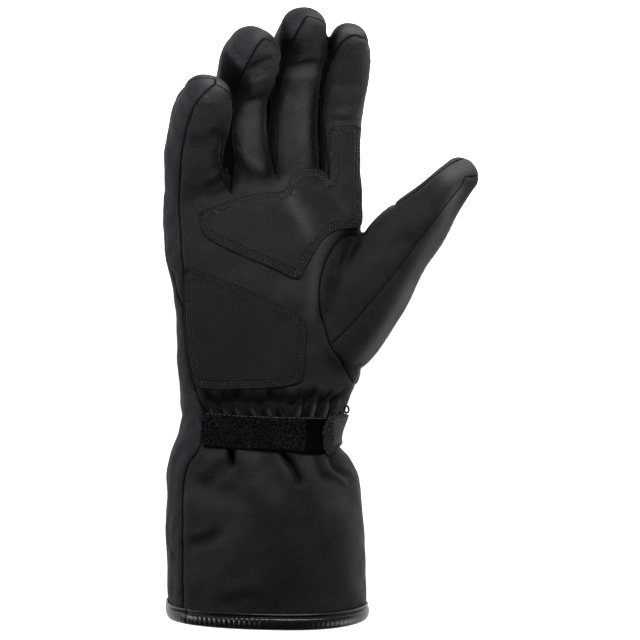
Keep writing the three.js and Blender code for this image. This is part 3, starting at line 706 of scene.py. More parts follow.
# Folds, gathers and pleats that the cloth is pressed into on the palm side
folds = [
    # a path in plan, then how deep it is, half its width and how high its lips stand
    ([[-16, 134.6], [-8, 135.6], [-0.4, 137]], 3.0, 2.1, 0.0),
    ([[-17, 140], [-8, 141], [0, 142.2]], 0.9, 3.6, 0.0),
    ([[-15, 128.6], [-7, 129.6], [0, 130.6]], -0.9, 3.6, 0.0),
    ([[-38.5, 132], [-33, 135], [-25.5, 138.6]], 3.0, 2.2, 0.0),
    ([[-38.5, 137], [-33, 140], [-26.5, 143.4]], 0.8, 3.2, 0.0),
    ([[-40, 125.6], [-34, 128.4], [-27.5, 131]], -0.9, 3.2, 0.0),
    ([[-41.5, 117], [-35, 117.2], [-29.5, 118.6]], 1.8, 1.8, 0.2),
    ([[-42, 111], [-36, 111.4], [-31, 112.6]], -0.8, 3.0, 0.0),
    ([[-56, 112], [-50.5, 111], [-49, 104]], 0.7, 3.0, 0.0),
    ([[-47, 88], [-42, 83], [-35, 74]], 1.5, 3.6, 0.0),
    ([[-43.5, 93], [-37, 86], [-28.5, 77]], -1.6, 3.2, 0.0),
    ([[-51.4, 97], [-50.4, 84], [-48, 71.5]], 3.0, 1.9, 0.0),
    ([[-46, 101], [-39, 104], [-32, 102]], -0.9, 3.2, 0.0),
    ([[-70, 97.2], [-60, 96.6], [-51.5, 98.6]], 1.2, 2.6, 0.6),
    ([[-68, 88], [-60, 86], [-53, 88]], -0.7, 3.4, 0.0),
    ([[1.5, 126.6], [12, 125.4], [23, 126.6]], 0.5, 2.4, 0.1),
    ([[2, 115], [12, 114], [22, 115.4]], 0.5, 2.6, 0.1),
    ([[4, 107.4], [13, 106.8], [22, 108]], 1.1, 1.8, 0.2),
    ([[13, 151], [18, 150.2], [24, 150.6]], 0.9, 1.4, 0.4),
    ([[-21, 72], [-15.5, 62], [-9, 50], [-4.5, 40]], -2.4, 3.4, 0.0),
    ([[-5, 74], [0, 65], [5, 56]], 1.5, 4.0, 0.0),
    ([[-30, 66], [-24, 56], [-16, 45]], 1.0, 5.0, 0.0),
    ([[6, 70], [11, 60], [19, 52]], -1.1, 3.5, 0.0),
    ([[-4.4, 39], [-3.6, 28], [-4, 17], [-5, 8]], -1.3, 3.2, 0.0),
    ([[-12, 12], [-9, 0], [-9, -14]], 0.8, 5.0, 0.0),
    ([[-62, 74], [-55, 66], [-50, 60]], 0.8, 4.0, 0.3),
    ([[36, 38], [44, 42], [52, 40]], 0.8, 4.0, 0.3),
    ([[8, 21], [10, 31], [14, 40]], -1.6, 4.0, 0.0),
    ([[-68.5, -119.8], [-62, -117], [-54, -114]], 1.5, 2.8, 0.8),
    ([[-52, -150], [-38, -147.5], [-30, -149]], 0.9, 3.5, 0.5),
    ([[-22, -100], [-8, -112], [2, -130]], 0.8, 8.0, 0.3),
    ([[-58, -140], [-46, -128], [-28, -108]], 0.7, 6.0, 0.3),
    ([[-81.6, -116], [-79, -122], [-76.6, -127.5]], 0.5, 0.8, 0.0),
    ([[-66, -84], [-57, -90], [-44, -93]], 1.2, 4.5, 0.4),
    ([[-61, -71], [-52, -73]], -1.3, 3.4, 0.0),
    ([[-42, -72], [-31, -73]], -1.1, 3.8, 0.0),
    ([[-4, -90], [4, -97], [12, -100]], -0.9, 4.5, 0.0),
    ([[-40, -96], [-30, -104], [-24, -118]], 0.8, 9.0, 0.0),
    ([[6, -96], [2, -108], [4, -122]], -0.8, 5.0, 0.0),
]
# Above the strap the cloth dives under it between short ridges
wristHollow = {
    "start": -34.8, "deep": -42.0, "end": -57, "endFade": 5.5, "depth": 5.6,
    "left": -66, "leftFade": 6, "right": 17, "rightFade": 9,
    "wave": 1.6, "waveLength": 8.2, "waveShift": 3, "slowWave": 0.9, "slowPace": 0.31,
    "ridgeEnd": -51.5, "bend": 1.3, "crest": 0.5,
}
gathers = [
    # where a ridge starts in plan, the x of its end, its height and half its width
    (-61.5, -39.5, -57.6, 0.95, 1.15),
    (-54.5, -39, -49.6, 1.0, 1.2),
    (-47, -38.5, -42.6, 0.95, 1.3),
    (-38.5, -38.5, -34.0, 1.05, 1.25),
    (-30, -38.5, -25.6, 0.95, 1.4),
    (-22.5, -41, -18.6, 0.6, 1.2),
    (-8.5, -36, -11, 0.95, 1.3),
    (0.5, -32, -3.6, 0.9, 1.5),
    (8, -32, 3.6, 0.95, 1.3),
    (13.5, -36, 10.2, 0.9, 1.2),
]
pleats = [
    ([[-47, -68], [-47, -76.5]], 5.0, 1.7, 1.0),
    ([[-47.5, -74], [-56, -83], [-64, -88]], 1.1, 3.0, 0.5),
    ([[-46, -75], [-40, -86]], 1.1, 2.6, 0.5),
    ([[-20.5, -68.5], [-14.5, -77], [-10.5, -86]], 3.9, 1.9, 1.0),
    ([[-24, -72], [-19, -82], [-17, -92]], -0.9, 2.8, 0.0),
    ([[-34, -70], [-34, -80]], -1.2, 4.5, 0.0),
    ([[1.4, -72], [3.4, -78], [7.2, -82.6], [13, -87]], -2.3, 1.2, 0.0),
    ([[-1.6, -73], [0.4, -80], [5, -86]], 2.0, 1.7, 0.0),
    ([[5.5, -74], [9, -79], [15, -83]], 1.7, 1.6, 0.0),
]


def pressed(x, y, rows):
    total = np.zeros(len(x))
    for path, depth, halfWidth, lip in rows:
        line = pathLine(path)
        reach = 4 * halfWidth
        near = ((x > line[:, 0].min() - reach) & (x < line[:, 0].max() + reach)
                & (y > line[:, 1].min() - reach) & (y < line[:, 1].max() + reach))
        gap, place = lineDistance(x[near], y[near], line)
        length = np.linalg.norm(np.diff(line, axis=0), axis=1).sum()
        fade = 0.35 + 0.65 * np.sin(math.pi * np.clip(place / length, 0, 1)) ** 0.5
        shape = lip * bell((gap - 2 * halfWidth) / (1.1 * halfWidth)) - depth * bell(gap / halfWidth)
        total[near] += shape * fade
    return total


def gathered(x, y):
    size = wristHollow
    # The edge of the hollow waves between the ridges
    start = size["start"] - size["wave"] * np.abs(
        np.sin((x + size["waveShift"]) * math.pi / size["waveLength"]))
    start = start - size["slowWave"] * np.sin(x * size["slowPace"])
    down = ramp((start - y) / (size["start"] - size["deep"]))
    down *= (ramp((y - size["end"]) / size["endFade"]) * ramp((x - size["left"]) / size["leftFade"])
             * ramp((size["right"] - x) / size["rightFade"]))
    ridge = np.zeros(len(x))
    for startX, startY, endX, height, halfWidth in gathers:
        t = (startY - y) / (startY - size["ridgeEnd"])
        centre = startX + (endX - startX) * np.clip(t, 0, 1.3) ** size["bend"]
        gap = (x - centre) / halfWidth
        gap = np.where(gap > 0, gap * 1.25, -gap * 0.8) / (0.6 + 0.6 * np.clip(t, 0, 1))
        ridge = np.maximum(ridge, height * np.exp(-gap ** 1.7) * (0.15 + 0.85 * ramp((t - 0.3) / 0.5)))
    return -size["depth"] * down * (1 - ridge) + size["crest"] * down * ridge, down * ridge


px, py, pz = points.T
facingUp = ramp((normals[:, 2] + 0.05) / 0.45)
notFloor = np.clip((pz - 1.5) / 6, 0, 1)
flatPoints, flatNormals = points.copy(), normals.copy()
drawnIn, gatherCrest = gathered(px, py)
drawnIn = facingUp * drawnIn
pressedIn = facingUp * (pressed(px, py, folds) + pressed(px, py, pleats))
move = drawnIn + pressedIn
# The wrist is also drawn in at the back and the sides, with softer gathers
backGathers = {"place": -45, "reach": 6.5, "middleX": -30, "middleZ": 28, "height": 0.7, "count": 26,
               "sway": 1.3, "swayCount": 5}
backShare = bell((py - backGathers["place"]) / backGathers["reach"]) * (1 - facingUp) * notFloor
turnRound = np.arctan2(pz - backGathers["middleZ"], px - backGathers["middleX"])
move += backShare * backGathers["height"] * np.sin(
    turnRound * backGathers["count"] + backGathers["sway"] * np.sin(turnRound * backGathers["swayCount"]))
unevenness = [(0.5, 34, 5), (0.2, 13, 9)]
move += notFloor * sum(height * drift(points, size, seed) for height, size, seed in unevenness)
sunk = smoothed(np.maximum(0, -move - 0.3), edges, 8)
points = points + normals * move[:, None]
points[:, 2] = np.maximum(points[:, 2], 0)
points = smoothed(points, edges, 1, 0.3)
normals = normalsOf(points, faces)
report("folds and gathers pressed in")


shelterSettings = {"margin": 15, "reaches": (1.4, 2.4, 3.6, 5, 7, 10, 13), "levelReach": 2.4, "outerReach": 7,
                   "dip": 0.6, "creaseDepth": 3.4, "bump": 0.4, "ridgeHeight": 0.7}
# The most painted shade or painted highlight, the depth in millimetres that it starts at and what it takes to
# get there
depthShade = {"gather": (0.9, 0.6, 2.6), "fold": (0.8, 0.3, 2.4), "bulge": (0.32, 0.3, 2.2)}
gapShade = {"left": -58, "right": 12, "above": 12, "start": 68, "ends": (118, 150), "fade": 18}
openWall = {"left": -62, "facing": 0.4, "ease": 0.3}
crestShare = 0.6


def shadeAt(depth, most, start, reach):
    return most * ramp((depth - start) / reach)


def sheltered(points, facing, settings):
    # How far a point lies down in a crease, and how far it stands on a ridge, from the heights around it
    low = points[:, :2].min(axis=0) - settings["margin"]
    size = np.ceil(points[:, :2].max(axis=0) + settings["margin"] - low).astype(int)
    heights = np.zeros(size)
    np.maximum.at(heights, tuple((points[:, :2] - low).astype(int).T), points[:, 2])
    # Cells that no point falls in take the height of a neighbour
    for _ in range(2):
        beside = np.max([np.roll(heights, step, axis) for axis in (0, 1) for step in (-1, 1)], axis=0)
        heights = np.where(heights > 0, heights, beside)
    soft = sum(np.roll(heights, (i, j), (0, 1)) for i in (-1, 0, 1) for j in (-1, 0, 1)) / 9
    highest = []
    outer = np.zeros(len(points), bool)
    level = np.zeros(len(points))
    for way in range(12):
        heading = np.array([math.cos(math.pi * way / 6), math.sin(math.pi * way / 6)])
        best = np.zeros(len(points))
        for far in settings["reaches"]:
            at = tuple((points[:, :2] + far * heading - low).astype(int).T)
            best = np.maximum(best, heights[at] - points[:, 2])
            if far == settings["outerReach"]:
                outer |= heights[at] <= 0
            if far == settings["levelReach"]:
                rise = soft[at] - points[:, 2]
                level += np.where(rise < -3, 0, rise) / 12
        highest.append(best)
    # A crease is closed on both sides, an outer wall only on one
    depth = np.max([np.minimum(highest[i], highest[i + 6]) for i in range(6)], axis=0)
    unroofed = np.where(outer, ramp((facing - 0.15) / 0.35), ramp((facing + 0.35) / 0.4))
    # Shallow dips and low ridges don't count
    crease = ramp((depth - settings["dip"]) / settings["creaseDepth"])
    return crease * unroofed, np.clip((-level - settings["bump"]) / settings["ridgeHeight"], 0, 1) * unroofed


# Creases get painted shade and ridges a painted highlight, mixed into the cloth's colour
hollow, ridge = sheltered(points, normals[:, 2], shelterSettings)
# The outer wall of the little finger lies open
hollow = hollow * (1 - ramp((-normals[:, 0] - openWall["facing"]) / openWall["ease"])
                   * (px < openWall["left"]))
# Deep folds and gathers get painted shade at the bottom
hollow = np.maximum(hollow, shadeAt(-drawnIn, *depthShade["gather"]))
hollow = np.maximum(hollow, shadeAt(-pressedIn, *depthShade["fold"]))
# The walls between the fingers see little light
wallEnd = np.clip(gapShade["ends"][0] + (px + 50) * 0.8, *gapShade["ends"])
wall = ramp((0.8 - normals[:, 2]) / 0.35) * ramp((wallEnd - py) / gapShade["fade"]) * (py > gapShade["start"])
hollow = np.maximum(hollow, wall * (
    (px > gapShade["left"]) & (px < gapShade["right"]) & (pz > gapShade["above"])))
# What stands up gets a painted highlight
ridge = np.maximum(0.3 * smoothed(ridge, edges, 14), shadeAt(pressedIn, *depthShade["bulge"]))
# The crests of the gathers above the strap get a painted highlight too
ridge = np.maximum(ridge, crestShare * facingUp * gatherCrest)
# Strokes of painted highlight, and strokes of painted shade
paintedHighlightStrokes = [
    # a path in plan, half its width and how strong it is
    ([[-58, 127.6], [-51, 125]], 4.0, 1.0),
    ([[-32, 151], [-27.5, 154]], 2.8, 0.5),
    ([[-5, 162], [2, 160.5]], 2.8, 0.5),
    ([[12, 156], [21, 153]], 3.2, 0.9),
    ([[70, 79], [80, 84]], 6.5, 1.0),
    ([[74, 70], [66, 51], [61, 43], [54.5, 31], [48, 17.5], [41, 5], [34.5, -6], [27, -18],
      [21, -28]], 3.3, 0.9),
    ([[1.5, 44], [-1.5, 36], [-2.5, 26], [-3.5, 14], [-5, 4]], 4.0, 0.3),
    ([[-20, 20], [-10, 15], [-4, 8]], 5.0, 0.1),
    ([[-20, 73], [-16, 64], [-10.5, 54], [-6, 45]], 3.8, 0.22),
    ([[-16, 129.6], [-8, 131], [-1, 132]], 3.0, 0.25),
    ([[-9, 126], [-8, 116], [-7, 100]], 6.0, 0.16),
    ([[-38, 126], [-31, 129]], 3.0, 0.25),
    ([[-37, 110], [-37, 98]], 4.5, 0.2),
    ([[9, -90], [15, -102], [19.5, -120], [21, -140]], 5.0, 0.3),
    ([[-36, -74], [-32, -84], [-24, -92]], 6.0, 0.18),
    ([[-6, -74], [0, -84], [8, -92]], 4.5, 0.18),
    ([[-66, -92], [-54, -97], [-44, -102], [-50, -120], [-62, -132]], 8.0, 0.18),
]
paintedShadeStrokes = [
    ([[8, 147], [6, 138], [4.5, 128]], 2.6, 0.6),
    ([[-52, 130], [-48, 126], [-45.5, 119]], 3.4, 0.45),
    ([[9, 39], [12, 29]], 4.5, 0.35),
    ([[-20, -118], [-18, -135], [-18, -150]], 12.0, 0.25),
    ([[-55, -147], [-40, -150], [-20, -150]], 4.0, 0.35),
    ([[2, 66], [8, 58]], 4.0, 0.4),
    ([[-9, 70], [-4, 62], [2, 55]], 3.5, 0.5),
    ([[14, 0], [30, 20], [46, 38], [58, 52]], 10.0, 0.25),
]


def marked(x, y, rows):
    total = np.zeros(len(x))
    for path, halfWidth, share in rows:
        line = pathLine(path)
        gap, _ = lineDistance(x, y, line)
        total = np.maximum(total, share * bell(gap / halfWidth))
    return total


seenFromFront = ramp((normals[:, 2] + 0.02) / 0.3)
ridge = np.maximum(ridge, marked(px, py, paintedHighlightStrokes) * seenFromFront)
hollow = np.maximum(hollow, marked(px, py, paintedShadeStrokes) * seenFromFront)
shading = smoothed(np.stack([hollow, ridge], axis=1), edges, 5)
report("hollows and ridges found")


# Panels: a field is above zero where the panel is, and grows by a millimetre per millimetre
def fingerLine(rows):
    y = np.concatenate([[0], rows["y"][1::2], [rows["y"][-1] + 8, rows["y"][-1] + 60]])
    z = np.concatenate([[20], rows["z"][1::2], [rows["z"][-1] + 11, rows["z"][-1] + 84]])
    return np.stack([y, z], axis=1)


def aboveLine(along, height, line):
    return height - np.interp(along, line[:, 0], line[:, 1])


fx, fy, fz = flatPoints.T


def planField(outline, height):
    # Above zero inside an outline in plan where the height is above zero too
    return np.minimum(insideDistance(fx, fy, outline), height)


def allOf(*fields):
    return np.min(fields, axis=0)


littleLine = fingerLine(littleFinger)
palmField = np.max([planField(outline, aboveLine(fy, fz, line)) for outline, line in (
    (palmOutline, palmLine), (littleOutline, littleLine), (ringOutline, fingerLine(ringFinger)),
    (middleOutline, fingerLine(middleFinger)), (indexOutline, fingerLine(indexFinger)))], axis=0)
for rows, webEnd in fingerWebs:
    webX = rows["x"][0]
    webOutline = np.array([[webX - 6, 58], [webX + 6, 58], [webX + 3, webEnd - 3], [webX, webEnd],
                           [webX - 3, webEnd - 3]])
    palmField = np.maximum(palmField, planField(webOutline, fz - 21))
alongThumb = fx * thumbHeading[0] + fy * thumbHeading[1]
thumbLine = np.stack([
    np.concatenate([[-90], thumb["x"] * thumbHeading[0] + thumb["y"] * thumbHeading[1], [160]]),
    np.concatenate([[25], thumb["z"], [40]])], axis=1)
overThumbLine = aboveLine(alongThumb, fz, thumbLine)
# Towards the tip the seam on the index finger's side climbs to meet its line in plan
thumbRise = {"height": 5.5, "start": 52, "end": 112, "ease": 20}
seamRise = thumbRise["height"] * ramp((alongThumb - thumbRise["start"]) / thumbRise["ease"])
seamRise = seamRise * ramp((thumbRise["end"] - alongThumb) / thumbRise["ease"])
thumbInnerField = planField(thumbInnerOutline, overThumbLine - seamRise)
thumbOuterField = planField(thumbOuterOutline, overThumbLine)
stripHeight = aboveLine(fy, fz, littleLine) + np.interp(fy, stripDrop[:, 0], stripDrop[:, 1])
stripField = planField(stripOutline, stripHeight)
cuffField = planField(cuffOutline, aboveLine(fy, fz, cuffLine))
thumbBackField = insideDistance(fx, fy, thumbBackOutline)
hemField = fy - hemLevel(fx, fz) - 0.2
hand = fy - form["handCuffJoint"]
restField = allOf(-palmField, -thumbInnerField, -thumbOuterField, -stripField)
# The cuff is sewn to the hand under the strap and at the back; at the side that seam doesn't show
everywhere = np.full(len(points), 30.0)
plainSide = {"x": -72, "halfWidth": 9, "above": 13}
wristSeam = everywhere * (ramp((fz - plainSide["above"]) / 8)
                          * ramp((plainSide["halfWidth"] - np.abs(fx - plainSide["x"])) / 5))
handSeam, cuffSeam = hand + wristSeam, -hand + wristSeam
panelFields = {
    # a field for the seams that show, and one for a plain cut
    "palm_panel": (allOf(palmField, hand), everywhere),
    "back_panel": (allOf(restField, -thumbBackField, handSeam, form["knuckleJoint"] - fy), hand),
    "finger_back_panel": (allOf(restField, -thumbBackField, fy - form["knuckleJoint"]), everywhere),
    "little_finger_side_panel": (allOf(stripField, -palmField), everywhere),
    "thumb_inner_panel": (thumbInnerField, everywhere),
    "thumb_outer_panel": (thumbOuterField, everywhere),
    "thumb_back_panel": (allOf(restField, thumbBackField, hand), everywhere),
    "cuff_palm_panel": (allOf(cuffField, -hand, hemField), everywhere),
    "cuff_back_panel": (allOf(-cuffField, cuffSeam, hemField), -hand),
}
report("panel fields worked out")

panelSettings = {
    "gap": 0.1,
    "rollDepth": 0.95,
    "rollWidth": 1.15,
    "rollPower": 1.3,
    "puckerStart": 0.8,
    "puckerEnd": 2.2,
    "puckerDepth": 0.2,
    "puckerPitch": 3.6,
    "puckerHeading": np.array([0.62, 0.71, 0.33]),
    "thumbSeamEase": 0.45,
    "thumbSeamReach": 3,
    "liningSeam": 20.0,
    "liningShade": 0.55,
}


def surfaceDistance(points, faces, field):
    # The field as a distance over the surface, also where the surface is steep in plan
    a, b, c, across = cornersOf(points, faces)
    area = np.maximum((across ** 2).sum(axis=1), 1e-9)
    slope = sum(field[faces[:, k]][:, None] * np.cross(across, opposite)
                for k, opposite in enumerate((c - b, a - c, b - a))) / area[:, None]
    weight = np.sqrt(area)
    total = atPoints(faces, np.linalg.norm(slope, axis=1) * weight, len(points))
    weights = atPoints(faces, weight, len(points))
    mean = smoothed(total / np.maximum(weights, 1e-9), edgesOf(faces), 3)
    return field / np.clip(mean, 0.3, 1.2)


def toFrame(points):
    return (points - originShift) / 1000


def closedSheet(outer, inner, faces):
    # One closed body from an outer and an inner surface with the same faces
    rim = rimEdges(faces)
    count = len(outer)
    i, j = rim.T
    shell = np.concatenate([
        faces, faces[:, ::-1] + count,
        np.stack([j, i, i + count], axis=1),
        np.stack([j, i + count, j + count], axis=1)])
    return np.vstack([outer, inner]), shell


def addAttribute(thing, name, values):
    attribute = thing.data.attributes.new(name, "FLOAT", "POINT")
    attribute.data.foreach_set("value", np.ascontiguousarray(values, np.float32))


def lightened(piece, hiddenPoints, share=0.1):
    # Thins out the faces of the hidden side
    kept = ~hiddenPoints
    _, triangles = meshArrays(piece.data)
    touching = triangles[kept[triangles].any(axis=1)]
    kept[touching.ravel()] = True
    hidden = np.count_nonzero(~kept[triangles].any(axis=1))
    group = piece.vertex_groups.new(name="hiddenSide")
    group.add([int(i) for i in np.flatnonzero(~kept)], 1.0, "REPLACE")
    thin = piece.modifiers.new("thin", "DECIMATE")
    thin.vertex_group = "hiddenSide"
    thin.ratio = 1 - (1 - share) * hidden / len(triangles)
    lighter = bpy.data.meshes.new_from_object(evaluatedOf(piece))
    piece.modifiers.clear()
    piece.vertex_groups.clear()
    piece.data = lighter


def sheetPiece(name, outer, inner, made, attributes):
    # A closed piece with an outer and an inner surface; each attribute has values for both
    shell, shellFaces = closedSheet(outer, inner, made)
    piece = rawObject(name, toFrame(shell), shellFaces)
    for label, (outside, inside) in attributes.items():
        addAttribute(piece, label, np.concatenate([outside, np.broadcast_to(inside, len(inner))]))
    lightened(piece, np.arange(len(shell)) >= len(outer))
    report(f"{name}: {len(piece.data.polygons)} triangles")
    return piece


def panel(name, field, settings):
    showing, plain = field
    showing = showing - settings["gap"]
    made, _, (outer, up, flat, flatUp, sunkIn, shade, edge) = cutOut(
        np.minimum(showing, plain), faces,
        [points, normals, flatPoints, flatNormals, sunk, shading, showing])
    seam = np.maximum(surfaceDistance(outer, made, edge), 0)
    # The centre seam of the thumb lies flatter than the others
    ease = 0
    if name in ("thumb_inner_panel", "thumb_outer_panel"):
        beside, _ = lineDistance(flat[:, 0], flat[:, 1], smoothThumbCentre)
        ease = settings["thumbSeamEase"] * (beside < settings["thumbSeamReach"])
    roll = np.exp(-(seam / settings["rollWidth"]) ** settings["rollPower"])
    roll = -settings["rollDepth"] * roll * (1 - ease)
    pucker = np.sin(2 * math.pi * (outer @ settings["puckerHeading"]) / settings["puckerPitch"])
    pucker = pucker * (0.6 + 0.4 * drift(outer, 9, 3)) * np.exp(-seam / settings["puckerEnd"])
    pucker = pucker * np.clip(seam / settings["puckerStart"], 0, 1)
    lift = roll + settings["puckerDepth"] * pucker
    outer = outer + up * lift[:, None]
    outer[:, 2] = np.maximum(outer[:, 2], 0)
    inner = flat - flatUp * (form["wall"] + sunkIn)[:, None]
    words = name.split("_")
    title = words[0] + "".join(word.title() for word in words[1:]) + "Cloth"
    # The lining inside has no seams, and is darker, partly as a dark lining and partly as painted shade
    return sheetPiece(title, outer, inner, made, {
        "seam": (seam + 0.5 * ease, settings["liningSeam"]),
        "hollow": (shade[:, 0], settings["liningShade"]), "ridge": (shade[:, 1], 0.0)})


pieces = {nodeName: panel(nodeName, field, panelSettings) for nodeName, field in panelFields.items()}

# Layers that are sewn on the palm side follow the pressed surface
patchSettings = {
    "lift": 0.2,
    "thickness": 0.95,
    "edgeRound": 0.8,
    "edgeHeight": 0.12,
    "bandMiddle": 2.5,
    "bandColumn": 1.3,
    "bandEase": 0.7,
    "bandRipple": 0.1,
    "bandShade": 0.95,
    "stitchPitch": 1.8,
    "threadRadius": 0.27,
    "sink": 0.02,
    "dent": 0.3,
}


# Everything sewn on lies on the palm side, above this height
layersAbove = 26


def sewnLayer(outline, base):
    made, _, (low, shade) = cutOut(planField(outline, 8 * (fz - layersAbove)), faces, [base, shading])
    made, (low, shade) = subdivided(made, [low, shade])
    rim = np.unique(rimEdges(made))
    held = low[rim].copy()
    low = smoothed(low, edgesOf(made), 2)
    low[rim] = held
    distance, place = lineDistance(low[:, 0], low[:, 1], outline, closed=True)
    return low, normalsOf(low, made), made, distance, place, shade


def roundedHeight(distance, settings):
    # How high a layer stands where it is rounded off towards its edge, and how far in each point lies
    inward = np.clip(distance / settings["edgeRound"], 0, 1)
    least = settings["edgeHeight"]
    return least + (settings["thickness"] - least) * np.sqrt(1 - (1 - inward) ** 2), inward


def finishLayer(name, low, lowUp, made, height, lift, attributes):
    lift = np.broadcast_to(lift, len(low))
    top = low + lowUp * (lift + height)[:, None]
    piece = sheetPiece(name, top, low + lowUp * lift[:, None], made,
                       {label: (values, values) for label, values in attributes.items()})
    return piece, top


def patch(name, outline, settings):
    low, lowUp, made, distance, place, shade = sewnLayer(outline, points)
    height, _ = roundedHeight(distance, settings)
    beside = np.abs(distance - settings["bandMiddle"])
    band = ramp((1.5 * settings["bandColumn"] + 0.5 - beside) / settings["bandEase"])
    height -= settings["dent"] * band
    height += settings["bandRipple"] * band * np.sin(2 * math.pi * place / settings["stitchPitch"])
    # The stitched band is dented and darkened with painted shade
    piece, _ = finishLayer(name, low, lowUp, made, np.maximum(height, 0.1), settings["lift"], {
        "seam": distance, "hollow": np.maximum(shade[:, 0], settings["bandShade"] * band),
        "ridge": shade[:, 1]})
    return piece


pieces["palm_patch"] = patch("palmPatchSuede", palmPatchOutline, patchSettings)
pieces["heel_patch"] = patch("heelPatchSuede", heelPatchOutline, patchSettings)


# The loop strip of the closure across the wrist, and the strap that closes on it
stripSettings = {"lift": 0.3, "thickness": 1.4, "edgeRound": 0.8, "edgeHeight": 0.15, "pileEnd": -8.3,
                 "rough": 0.28, "plainDepth": 0.25, "bareEdge": 1.1}


def pileStrip(settings):
    low, lowUp, made, distance, _, _ = sewnLayer(pileOutline, flatPoints)
    height, inward = roundedHeight(distance, settings)
    pileMask = np.clip((settings["pileEnd"] - low[:, 0]) / 1.5 + 0.5, 0, 1)
    rough = 0.5 * drift(low, 1.9, 21) + 0.35 * drift(low, 1.1, 22)
    height += settings["rough"] * rough * pileMask * inward
    height -= settings["plainDepth"] * (1 - pileMask)
    piece, _ = finishLayer("pileStripWeb", low, lowUp, made, np.maximum(height, settings["edgeHeight"]),
                           settings["lift"], {"seam": distance, "pile": pileMask})
    return piece, low, lowUp, made, pileMask * (distance > settings["bareEdge"])


pieces["pile_strip"], pileLow, pileUp, pileFaces, pileShare = pileStrip(stripSettings)

strapSettings = {
    "thickness": 1.5, "edgeRound": 0.9, "edgeHeight": 0.2, "liftSide": 0.4, "liftFront": 2.1, "front": 30,
    "middle": (-33, 31), "turnStart": -0.3, "turnEase": 0.75, "row": 1.2, "rowReach": 0.45, "groove": 0.35,
    "stitchPitch": 2.0, "stitchLength": 1.5, "threadRadius": 0.26, "sink": 0.02, "hookEnd": 5.6,
    "hookAbove": 40, "rough": 0.3,
}


def closureStrap(settings):
    side = np.where(fz > settings["front"], insideDistance(fx, fy, tabOutline),
                    insideDistance(fx, fy, strapBackOutline))
    made, edge, (low,) = cutOut(side, faces, [flatPoints])
    made, (low, edge) = subdivided(made, [low, surfaceDistance(low, made, edge)])
    low = relaxed(low, edgesOf(made), 2)
    lowUp = normalsOf(low, made)
    # The strap lies close at the side and stands on the pile in front
    middleX, middleZ = settings["middle"]
    turned = np.arctan2(low[:, 2] - middleZ, low[:, 0] - middleX)
    t = np.clip((turned - settings["turnStart"]) / settings["turnEase"], 0, 1)
    lift = settings["liftSide"] + (settings["liftFront"] - settings["liftSide"]) * t * t * (3 - 2 * t)
    height, _ = roundedHeight(edge, settings)
    height -= settings["groove"] * bell((edge - settings["row"]) / settings["rowReach"])
    hooks = np.clip((settings["hookEnd"] - low[:, 0]) / 1.2, 0, 1)
    hooks = np.maximum(hooks, np.clip((1.1 - edge) / 0.5, 0, 1)) * (low[:, 2] > settings["front"])
    height += settings["rough"] * hooks * (0.5 * drift(low, 1.5, 31) + 0.5 * drift(low, 0.9, 32))
    piece, top = finishLayer("closureStrapWeb", low, lowUp, made, np.maximum(height, 0.15), lift,
                             {"seam": edge, "plain": 1 - hooks})
    return piece, top, lowUp, made, hooks * (low[:, 2] > settings["hookAbove"])


pieces["closure_strap"], strapTop, strapUp, strapFaces, hookShare = closureStrap(strapSettings)

loopSettings = {"radius": 1.6, "cord": 0.45, "turn": 0.75, "place": [14.2, -47.8, 41.0], "steps": (40, 14)}


def strapLoop(settings):
    around, ring = np.meshgrid(*(anglesRound(count) for count in settings["steps"]), indexing="ij")
    reach = settings["radius"] + settings["cord"] * np.cos(ring)
    local = np.stack([reach * np.cos(around), reach * np.sin(around) * 1.15,
                      settings["cord"] * 1.3 * np.sin(ring)], axis=2).reshape(-1, 3)
    c, s = math.cos(settings["turn"]), math.sin(settings["turn"])
    turned = np.stack([local[:, 0] * c + local[:, 2] * s, local[:, 1],
                       -local[:, 0] * s + local[:, 2] * c], axis=1) + settings["place"]
    return rawObject("strapLoopCord", toFrame(turned), tubeFaces(*settings["steps"]))


pieces["strap_loop"] = strapLoop(loopSettings)

# Folded binding round the hem, puckered between its stitches
bindingSettings = {
    "height": 6.3, "thickness": 0.5, "gap": 0.3, "clear": 0.5, "sides": 900, "rises": 34,
    "rollMiddle": 1.7, "rollHalf": 2.8, "rollRise": 1.15, "puff": 0.5, "puffPitch": 2.6,
    "puffPower": 0.7, "puffMiddle": 0.6, "leastPuff": 0.25, "puffLeft": -68, "puffRight": -20,
    "grooveAt": 4.5, "groove": 0.5, "grooveReach": 0.5, "lipAt": 5.6, "lip": 0.45, "lipReach": 0.42,
    "stitchPitch": 2.6, "stitchLength": 1.8, "threadRadius": 0.2,
    "jointX": -69.8, "jointAbove": 35, "jointRise": 0.6, "jointReach": 7, "jointCrease": 0.5,
    "stitchSides": 2400,
}


def bindingSwell(rise, phase, x, z, settings):
    # How far the outside of the binding stands proud of its plain band
    across = np.clip((rise - settings["rollMiddle"]) / settings["rollHalf"], -1, 1)
    roll = settings["rollRise"] * math.sqrt(1 - across ** 2)
    least = settings["leastPuff"]
    strength = least + (1 - least) * ramp((x - settings["puffLeft"]) / 5) * ramp(
        (settings["puffRight"] - x) / 12)
    puffs = np.abs(np.sin(phase)) ** settings["puffPower"] - settings["puffMiddle"]
    puffs = puffs * strength * settings["puff"] * (1 - across ** 2)
    groove = settings["groove"] * bell((rise - settings["grooveAt"]) / settings["grooveReach"])
    lip = settings["lip"] * bell((rise - settings["lipAt"]) / settings["lipReach"])
    # One end of the binding is folded over the other near the side seam
    past = (x - settings["jointX"]) * np.where(z > settings["jointAbove"], 1, -99)
    over = settings["jointRise"] * ramp(past / 0.7) * bell(np.maximum(past, 0) / settings["jointReach"])
    crease = settings["jointCrease"] * bell((past + 0.4) / 0.6)
    return roll + puffs - groove + lip + over - crease


def hemRing(angles, rise, offset):
    # A ring of points round the cuff, at a height above the hem
    return bodyPoints(angles, np.array([form["cuffEnd"] + rise]), offset)[0]


